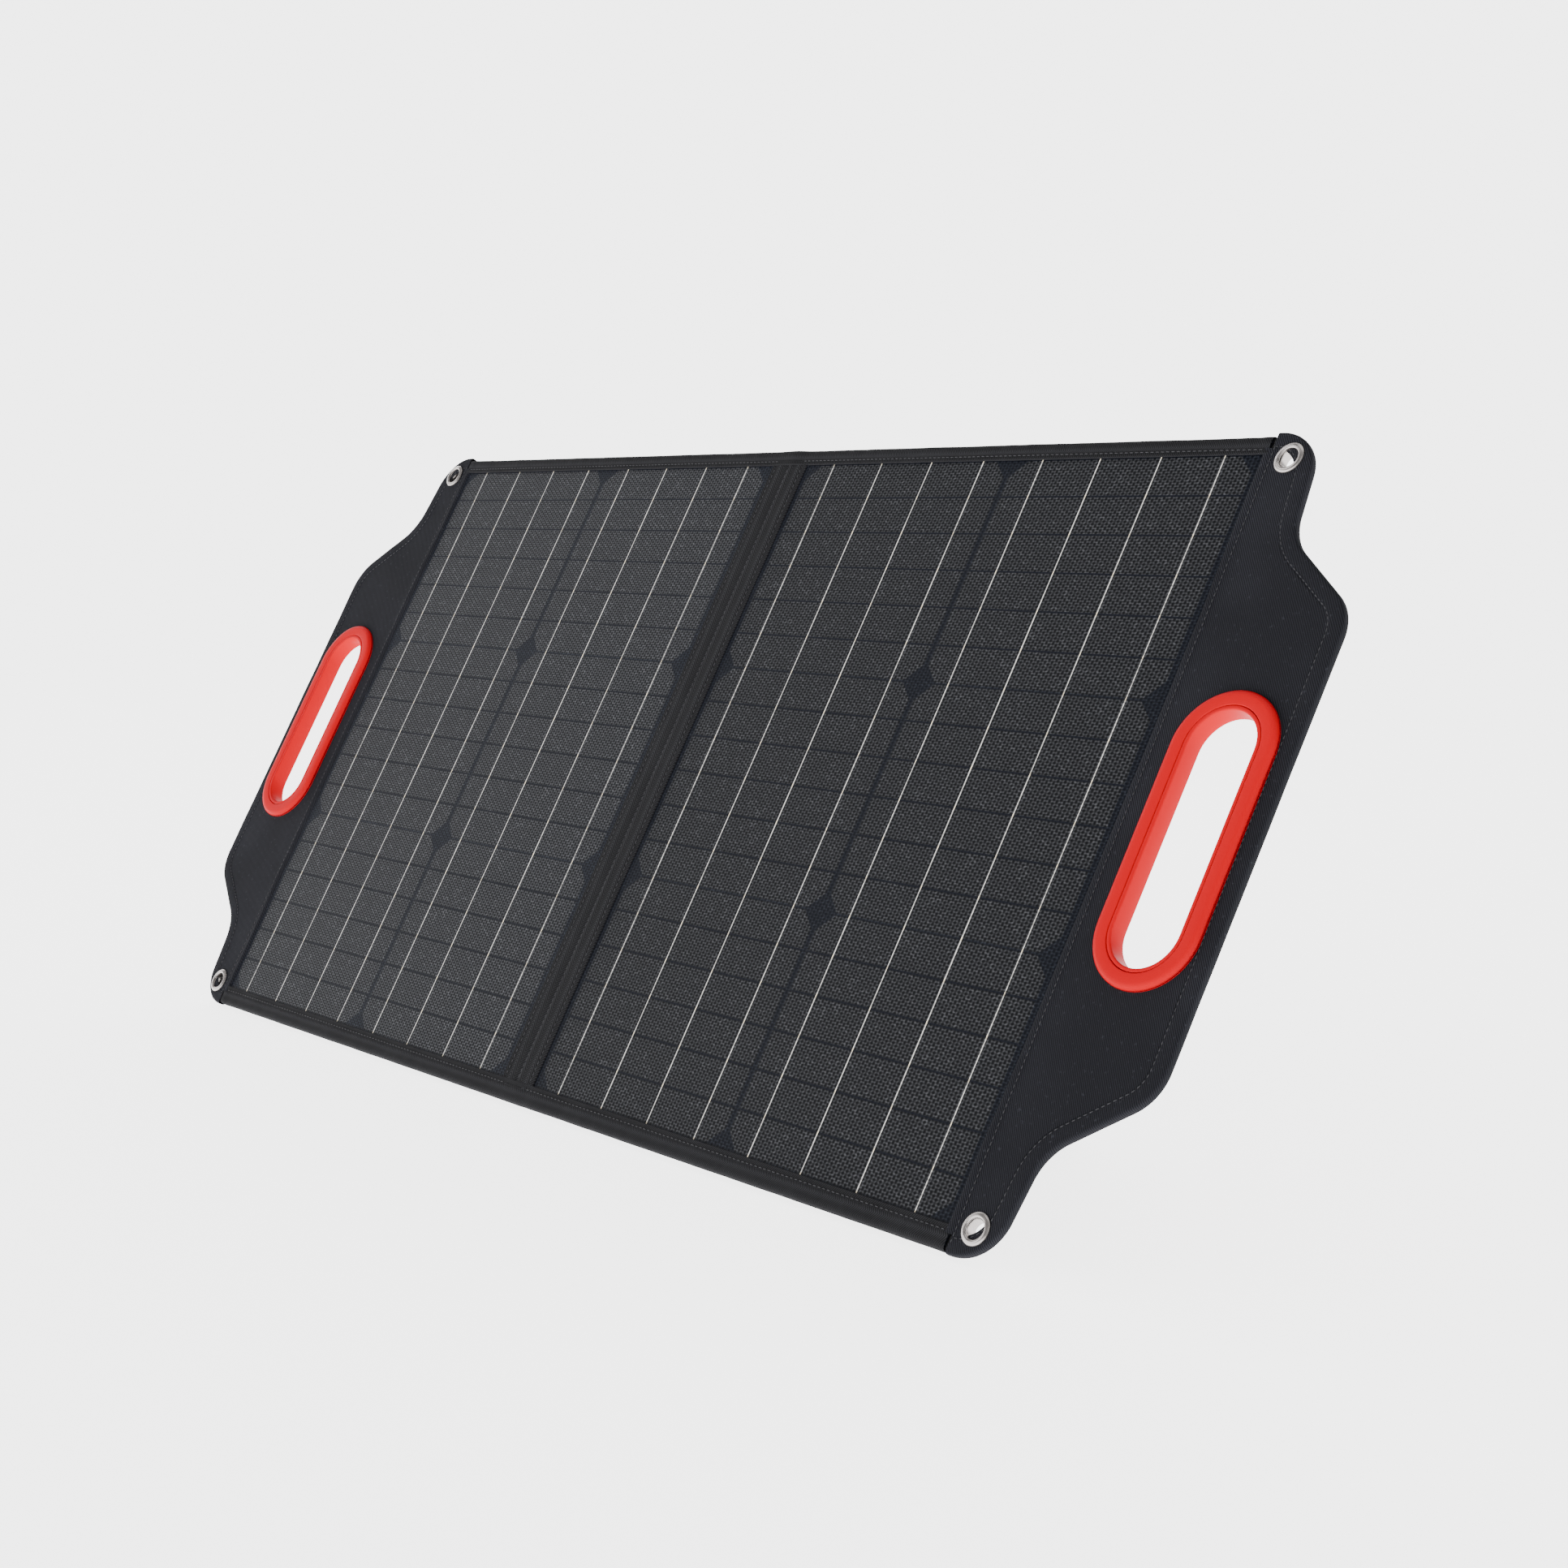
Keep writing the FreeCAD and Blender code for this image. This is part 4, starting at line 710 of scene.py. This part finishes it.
# %% Grommets and washers
angle = np.linspace(0, 2 * math.pi, 56, endpoint=False)
spin = np.stack([np.cos(angle), np.sin(angle)], -1)
eyelet = bend((5.35, -5.2), (4.85, -5.2, 0.2), (4.8, 0.6, 1.0), (5.3, 1.95, 0.9), (7.3, 2.0, 1.3),
              (8.1, 0.9, 0.5), (7.4, 0.4, 0.4), (5.4, 0.4, 0.3), (5.4, -5.1))
washer = bend((5.45, -4.0), (5.5, -5.2, 0.4), (7.2, -5.5, 1.0), (8.0, -4.4, 0.4), (7.4, -4.0, 0.3),
              (5.6, -3.9))
for side, sign in SIDES.items():
    for name, shape, node in (("eyelets", eyelet, "grommets"), ("eyelet_washers", washer, "grommet_washers")):
        both = []
        for level, up in (("upper", EYELET_UP), ("lower", -EYELET_UP)):
            centre = np.tile([sign * (SEAM + EYELET_OUT), FLAP_MIDDLE + up], (len(angle), 1))
            both.append(sweep(f"{side}_{level}_{name}", centre, spin, shape, NICKEL, loop=True))
            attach(both[-1], f"{side}_flap")
        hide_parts(f"{side}_{node}")
print("eyelets done")

# %% [markdown]
# ## The back of the panels
# Each panel is closed behind by one piece of case cloth, pulled flat over the board but never
# quite even. It is a grid with a slow wandering height, sewn just inside the bindings.

# %% Rear cover cloths
for side, sign in SIDES.items():
    u, v = np.meshgrid(np.linspace(10.5, FILM_EDGE, 90), np.linspace(1.0, 411.4, 110), indexing="ij")
    w = -5.05 - 0.11 * np.abs(ripple(u, v, 110, 70 + sign)) - 0.03 * np.abs(ripple(u, v, 24, 72))
    cover = grid(f"{side}_rear_cloth_sheet", np.stack([sign * u, v, w], -1), CLOTH, facing=(0, 0, -1))
    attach(cover, f"{side}_panel")
    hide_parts(f"{side}_rear_cover")
    for level, at in (("upper", 400.4), ("lower", 14.4)):
        ends = (sign * 18, at, -5.3), (sign * 334, at, -5.3)
        sew(f"{side}_{level}_rear_thread", *ends, f"{side}_panel", back=True)
print("rear covers done")

# %% [markdown]
# ## Kickstands
# A kickstand is a stiff board in cloth, edged with tape, hung from a sewn hinge tape and held open
# by a ribbon. It is worked out in its own flat frame and turned open about the hinge line, so the
# leg, its tape and its stitches share one formula.

# %% Shapes that run round a rectangle


def round_rectangle(half_x, half_y, corner, steps=9, run=14):
    """Points and unit normals round a rectangle about the origin: a quarter turn at each corner,
    joined by straight sides cut into equal parts."""
    points, normals = [], []
    for k, (sx, sy) in enumerate(((1, 1), (-1, 1), (-1, -1), (1, -1))):
        angle = np.linspace(0, math.pi / 2, steps) + k * math.pi / 2
        away = np.stack([np.cos(angle), np.sin(angle)], -1)
        points.append(np.array([sx * (half_x - corner), sy * (half_y - corner)]) + corner * away)
        normals.append(away)
    rows, aways = [], []
    for k in range(4):
        start, end = points[k][-1], points[(k + 1) % 4][0]
        t = np.linspace(0, 1, run)[1:-1, None]
        rows += [points[k], start + (end - start) * t]
        aways += [normals[k], np.repeat(normals[k][-1:], run - 2, 0)]
    return np.concatenate(rows), np.concatenate(aways)


def shell(name, middle, path, normal, rows, skin, turn=None, **how):
    """A moulded shell about a middle: each row (scale, outward, w) is the path shrunk by a scale
    and moved outwards, at height w. turn maps the flat result into another frame."""
    scale, out, w = np.array(rows, float).T
    spots = path[:, None] * scale[None, :, None] + normal[:, None] * out[None, :, None] + middle
    flat = raised(spots, w)
    return grid(name, turn(flat) if turn else flat, skin, uv=spots, loop=True, **how)


HINGE_UP, HINGE_OUT = 263.71, -7.6
LEG_MIDDLE, LEG_HALF, LEG_HALF_UP = -118.75, 58.0, 116.25


def stand_flat(local, sign):
    """Turns a leg's own (x, y, z) by 45 degrees about the hinge line into the flat frame. y is 0 at
    the hinge and falls along the leg, and z is the height over the leg's middle plane."""
    x, y, z = local[..., 0], local[..., 1], local[..., 2]
    c = math.sqrt(0.5)
    return np.stack([sign * PANEL_MIDDLE + x, HINGE_UP + (y - z) * c, HINGE_OUT + (y + z) * c], -1)


# %% Legs
for side, sign in SIDES.items():
    body = f"{side}_stand"
    for face, z in (("front", 1), ("rear", -1)):
        x, y = np.meshgrid(np.linspace(-55.2, 55.2, 34), np.linspace(-232.2, -5.2, 60), indexing="ij")
        puff = np.minimum(1, (55.3 - np.abs(x)) / 9) * np.minimum(1, (113.6 - np.abs(y + 118.7)) / 9)
        swell, rough = (0.08, 0.02) if z > 0 else (0.45, 0.07)
        h = z * (1.80 + swell * np.sqrt(np.maximum(puff, 0)) + rough * ripple(x, y, 40, 80 + z))
        cloth = grid(f"{side}_stand_{face}_face", stand_flat(np.stack([x, y, h], -1), sign), CLOTH,
                     uv=np.stack([x, y], -1), facing=(0, -z, z))
        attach(cloth, body)
        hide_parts(f"{side}_stand_{face}_cloth")
    path, away = round_rectangle(LEG_HALF, LEG_HALF_UP, 5, run=40)
    path = path + [0, LEG_MIDDLE]
    rim_shape = bend((-4.2, 1.7), (-3.4, 2.0, 0.3), (-0.4, 1.95, 0.9), (0, 0, 0.8),
                     (-0.4, -2.1, 0.9), (-3.4, -2.35, 0.3), (-4.2, -2.0))
    flat = raised(path[:, None] + away[:, None] * rim_shape[None, :, :1], rim_shape[:, 1])
    uv = together(distance(np.r_[path, path[:1]])[:, None], np.linspace(0, 12, len(rim_shape)))
    rim = grid(f"{side}_stand_rim", stand_flat(flat, sign), TAPE_U, uv=uv, loop=True)
    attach(rim, body)
    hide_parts(f"{side}_stand_edge_tape")
    for face, z in (("front", 1.88), ("rear", -2.35)):
        sewn = np.concatenate([path - away * 2.6, np.full((len(path), 1), z)], -1)
        thread = stitch(f"{side}_stand_{face}_thread", stand_flat(sewn, sign), THREAD, back=z < 0)
        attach(thread, body)
    print(side, "leg", len(rim.data.polygons), "faces in its rim")

# %% Hinge tapes
for side, sign in SIDES.items():
    body, panel = f"{side}_stand", f"{side}_panel"
    x = np.linspace(-57.5, 57.5, 40)[:, None]
    fall = bend((24, -5.2), (23.6, -6.1, 0.4), (4, -6.0, 2), (-0.5, -7.2, 2), (-2.6, -8.4, 1.5),
                (-9, -14.8, 1.0), (-11.5, -17.2), steps=4)
    v = HINGE_UP + fall[None, :, 0] + 0.12 * ripple(x, 0, 30, 90)
    w = fall[None, :, 1] - 0.1 * np.abs(ripple(x, fall[None, :, 0], 25, 91))
    uv = together(x, np.linspace(0, 42, len(fall)))
    flat = together(sign * PANEL_MIDDLE + x, v, w)
    tape = grid(f"{side}_hinge_tape_cloth", flat, TAPE_U, uv=uv, facing=(0, -0.5, -1))
    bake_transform(tape)
    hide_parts(f"{side}_stand_hinge_tape")
    for at in (8, 20):
        ends = [(sign * PANEL_MIDDLE + across, HINGE_UP + at, -6.2) for across in (-54, 54)]
        sew(f"{side}_hinge_thread_{at}", *ends, panel, back=True)
print("hinge tapes done")

# %% [markdown]
# A ribbon from the panel to the leg stops the stand at 45 degrees. On the real case it folds in
# two as the leg closes. Here it is one straight strap with a slight bow, from the panel to the
# open leg, and it rides on the panel, because a straight strap can't follow both ends.

# %% Straps
for side, sign in SIDES.items():
    top_end = np.array([HINGE_UP - 130, -5.35])
    low_end = stand_flat(np.array([0, -130.0, 2.2]), 0)[1:]
    t = np.linspace(0, 1, 40)[:, None]
    line = top_end + (low_end - top_end) * t + np.array([0.0, -1.0]) * (np.sin(t * math.pi) * 0.6)
    ribbon = bend((-10, 0.0), (-9.8, 0.45, 0.3), (9.8, 0.45, 0.3), (10, 0.0), (9.8, -0.45, 0.3),
                  (-9.8, -0.45, 0.3), (-10, -0.01), steps=3)
    ahead = (low_end - top_end) / np.linalg.norm(low_end - top_end)
    across = np.array([-ahead[1], ahead[0]])
    spots = line[:, None] + across * ribbon[None, :, 1:]
    flat = together(sign * PANEL_MIDDLE + ribbon[None, :, 0], spots[..., 0], spots[..., 1])
    uv = together(ribbon[None, :, 0], t * 100)
    strap = grid(f"{side}_strap_ribbon", flat, TAPE, uv=uv, facing=None)
    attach(strap, f"{side}_panel")
    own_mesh(strap)
    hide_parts(f"{side}_stand_strap")
    print(strap.name, len(strap.data.polygons), "faces")

# %% [markdown]
# ## The output box
# A moulded box sits on the left panel's back with two charging sockets and a power jack along its
# lower edge, under a rubber cover. The base keeps its own cut windows. The lid is a shallow shell
# with a soft edge and a raised frame, and each screw gets a domed head with a round recess.

# %% Lid and screws
BOX_MIDDLE = np.array([-PANEL_MIDDLE, 345.0])


def swap(flat):
    """Stands a flat shape up: its height becomes v, and its v becomes w."""
    return flat[..., [0, 2, 1]]


path, away = round_rectangle(61, 33, 4)
rows = [(1, 0.15, -19.7), (1, 0.3, -20.0), (1, 0.3, -21.3), (1, -0.1, -22.0), (1, -0.9, -22.5),
        (1, -2.6, -22.6), (1, -3.2, -22.2), (1, -3.9, -22.2), (0.84, 0, -22.25), (0.6, 0, -22.3),
        (0.3, 0, -22.3), (0.0, 0, -22.3)]
lid = shell("box_lid_shell", BOX_MIDDLE, path, away, rows, BLACK)
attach(lid, "left_panel")
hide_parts("output_box_lid")
head = bend((2.7, -22.2), (2.6, -23.4, 0.5), (1.7, -23.9, 0.5), (1.2, -23.9), (0.9, -23.2, 0.2),
            (0.0, -23.1), steps=4)
heads = []
for k, (i, j) in enumerate(((-1, -1), (1, -1), (-1, 1), (1, 1))):
    centre = np.tile(BOX_MIDDLE + [i * 54, j * 26], (len(angle), 1))
    heads.append(sweep(f"box_screw_{k + 1}", centre, spin, head, STEEL, loop=True,
                       facing=(0, 0, -1)))
    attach(heads[-1], "left_panel")
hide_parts("output_box_screws")
print(lid.name, len(heads), "screws")

# %% Dust cover and socket tongues
strip, strip_away = round_rectangle(44, 6.4, 2.5)
rows = [(0.0, 0, 311.65), (0.5, 0, 311.65), (1, -0.4, 311.65), (1, 0, 311.3), (1, 0, 310.4),
        (1, -0.5, 310.0), (1, -1.8, 309.9), (1, -2.3, 310.4), (0.5, 0, 310.4), (0.0, 0, 310.4)]
flap_rubber = shell("dust_cover_rubber", np.array([-PANEL_MIDDLE, -13.4]), strip, strip_away, rows,
                    RUBBER, turn=swap)
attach(flap_rubber, "dust_cover")
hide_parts("dust_cover")
for k, at in enumerate((-166.0, -144.0)):
    tongue_path, tongue_away = round_rectangle(5.4, 0.9, 0.4, 4, 4)
    rows = [(0.0, 0, 313.4), (1, -0.2, 313.4), (1, 0, 313.7), (1, 0, 325.5)]
    tongue = shell(f"socket_tongue_{k + 1}", np.array([at, -13.2]), tongue_path, tongue_away, rows,
                   RUBBER, turn=swap)
    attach(tongue, "left_panel")
print("box done")

# %% [markdown]
# ## The accessory pocket
# A padded cloth pocket with a zip lies on the right panel's back. A flat block would look hard, so
# its face is a height that swells towards the middle, drops over rounded sides and wrinkles near
# its seams. A cord of piping runs round its edge. The zip's coil is many small teeth, set in two
# staggered rows from one shape.

# %% Pocket
POCKET = np.array([PANEL_MIDDLE, 342.0])
path, away = round_rectangle(115, 52, 9, run=34)
inwards = np.linspace(0.96, 0.0, 26)
scale = np.r_[1.0, 1.0, 0.995, 0.985, inwards]
w = np.r_[-5.0, -9.0, -13.6, -15.6, -16.4 - 0.75 * (1 - inwards**4)]
spots = path[:, None] * scale[None, :, None]
x, y = spots[..., 0], spots[..., 1]
crease = 0.28 * ripple(x, y, 46, 95) * scale**3 * (w < -15)
belly = 0.7 * ripple(x, y, 30, 96) * (scale > 0.97) * (w > -15) * (w < -6)
spots = spots + away[:, None] * belly[..., None]
uv = spots - away[:, None] * ((w + 5) * (scale > 0.98))[None, :, None]
flat = raised(spots + POCKET, np.minimum(w + crease, -5.0))
bag = grid("pocket_cloth", flat, CLOTH, uv=uv, loop=True, facing=(0, 0, -1))
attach(bag, "right_panel")
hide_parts("accessory_pocket")
print(bag.name, len(bag.data.polygons), "faces")

# %% Piping and hem
turn = np.linspace(0, 2 * math.pi, 9)
cord = np.stack([1.1 * np.cos(turn) - 1.4, 1.1 * np.sin(turn) - 15.6], -1)
piping = sweep("pocket_piping", path + POCKET, away, cord[:-1], TAPE, loop=True, ring=True)
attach(piping, "right_panel")
hem = bend((3.2, -5.1), (3.0, -5.9, 0.3), (-0.4, -6.0, 0.5), (-0.6, -5.2), steps=3)
base = sweep("pocket_hem", path + POCKET, away, hem, TAPE, loop=True, facing=(0, 0, -1))
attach(base, "right_panel")
print(piping.name, base.name)

# %% Zip
ZIP_UP = 374.0
u, v = np.meshgrid(np.linspace(76.5, 277.5, 120), np.linspace(-13, 13, 16), indexing="ij")
w = -17.75 + 0.12 * ripple(u, v, 30, 97) + 0.55 * (np.abs(v) / 13) ** 6
zip_cloth = grid("zip_tape_cloth", np.stack([u, v + ZIP_UP, w], -1), TAPE_U, facing=(0, 0, -1))
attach(zip_cloth, "right_panel")
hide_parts("zip_tape")
shape, quads = ellipsoid(1.25, 0.62, 0.75)
at = np.arange(79.5, 275, 1.9)
places = np.concatenate([together(at + shift, ZIP_UP + level, -18.45)
                         for shift, level in ((0, 0.85), (0.95, -0.85))])
frames = np.tile(np.array([[0.0, 1, 0], [1, 0, 0], [0, 0, 1]]), (len(places), 1, 1))
coil = copies("zip_coil", shape, quads[:, ::-1], places, frames, ZIP)
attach(coil, "right_panel")
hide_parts("zip_teeth")
for k, level in enumerate((-9.5, 9.5)):
    ends = (79, ZIP_UP + level, -17.9), (275, ZIP_UP + level, -17.9)
    sew(f"zip_thread_{k + 1}", *ends, "right_panel", back=True)
print(coil.name, len(places), "teeth")

# %% Finishes for the pieces that keep their own shape
SKINS = {"film": FILM["right"], "solar_cell": BLACK, "tinned_ribbon": STEEL, "backsheet": BLACK,
         "stiff_board": BLACK, "woven_tape": TAPE, "case_cloth": CLOTH, "handle_plastic": RED,
         "nickel": NICKEL, "box_plastic": BLACK, "steel": STEEL, "circuit": CIRCUIT, "lens": LENS,
         "soft_rubber": RUBBER, "zip_plastic": ZIP}
slots = {part["node"]: part["material_slot"] for part in frame["record"]["subparts"]}
for name, node in frame["nodes"].items():
    node.data.materials.clear()
    node.data.materials.append(SKINS[slots[name]])
print(len(slots), "nodes finished")

# %% [markdown]
# ## Studio
# A pale floor, a white room and three broad soft lamps. The key lamp stands to the front left,
# where the film mirrors it towards the viewer, and the left panel's film is also painted lighter
# than the right, a painted reflection of that lamp.

# %% Floor and world
bpy.ops.mesh.primitive_plane_add(size=30)
floor = bpy.context.object
floor.name = "floor"
floor_skin = Skin("floor", Roughness=0.9, Emission_Color=(1, 1, 1, 1), Emission_Strength=3.4)
floor_skin.paint(floor_skin.mix(floor_skin.noise(0.6, 2), (0.93, 0.93, 0.93), (0.96, 0.96, 0.96)))
floor.data.materials.append(floor_skin.made)
world = bpy.context.scene.world or bpy.data.worlds.new("world")
bpy.context.scene.world = world
world.use_nodes = True
sky = world.node_tree.nodes["Background"]
sky.inputs[0].default_value = (1, 1, 1, 1)
facing_way = world.node_tree.nodes.new("ShaderNodeTexCoord").outputs["Generated"]
toward = world.node_tree.nodes.new("ShaderNodeVectorMath")
toward.operation = "DOT_PRODUCT"
toward.inputs[1].default_value = (-0.769, 0.613, -0.18)


def ramp(source, low, high, start, end):
    """A smooth rise from start to end as the source goes from low to high."""
    node = world.node_tree.nodes.new("ShaderNodeMapRange")
    node.interpolation_type = "SMOOTHSTEP"
    world.node_tree.links.new(source, node.inputs[0])
    for socket, number in zip(node.inputs[1:], (low, high, start, end)):
        socket.default_value = number
    return node.outputs[0]


world.node_tree.links.new(facing_way, toward.inputs[0])
height = world.node_tree.nodes.new("ShaderNodeSeparateXYZ")
world.node_tree.links.new(facing_way, height.inputs[0])
brighter = world.node_tree.nodes.new("ShaderNodeMath")
brighter.operation = "MAXIMUM"
world.node_tree.links.new(ramp(toward.outputs["Value"], 0.35, 0.8, 0.0, 4.4), brighter.inputs[0])
world.node_tree.links.new(ramp(height.outputs["Z"], 0.03, 0.34, 3.6, 0.45), brighter.inputs[1])
world.node_tree.links.new(brighter.outputs[0], sky.inputs[1])


# %% Lamps and camera


def lamp(name, place, aim, size, power):
    """A square soft lamp at a place, turned towards a point."""
    data = bpy.data.lights.new(name, "AREA")
    data.size, data.energy = size, power
    made = bpy.data.objects.new(name, data)
    made.location = place
    made.rotation_euler = (Vector(aim) - Vector(place)).to_track_quat("-Z", "Y").to_euler()
    bpy.context.collection.objects.link(made)
    return made


lamp("key_lamp", (-2.2, -2.0, 1.6), (0, 0, 0.2), 1.6, 10)
lamp("fill_lamp", (2.6, -1.6, 2.4), (0, 0, 0.2), 2.0, 8)
lamp("top_lamp", (0.0, 0.4, 3.2), (0, 0, 0.2), 2.0, 16)

eye = bpy.data.cameras.new("camera")
eye.lens, eye.sensor_width = 53.70, 36.0
eye.shift_x, eye.shift_y = 0.0606, 0.1034
eye.clip_start, eye.clip_end = 0.01, 100.0
camera = bpy.data.objects.new("camera", eye)
bpy.context.collection.objects.link(camera)
right, up, back = (0.62263, 0.78251, 0.0035), (-0.1428, 0.10922, 0.98371), (0.76937, -0.61299, 0.17974)
camera.matrix_world = Matrix((right, up, back)).transposed().to_4x4()
camera.location = (1.0467, -0.81217, 0.3210)
bpy.context.scene.camera = camera
print("studio ready")
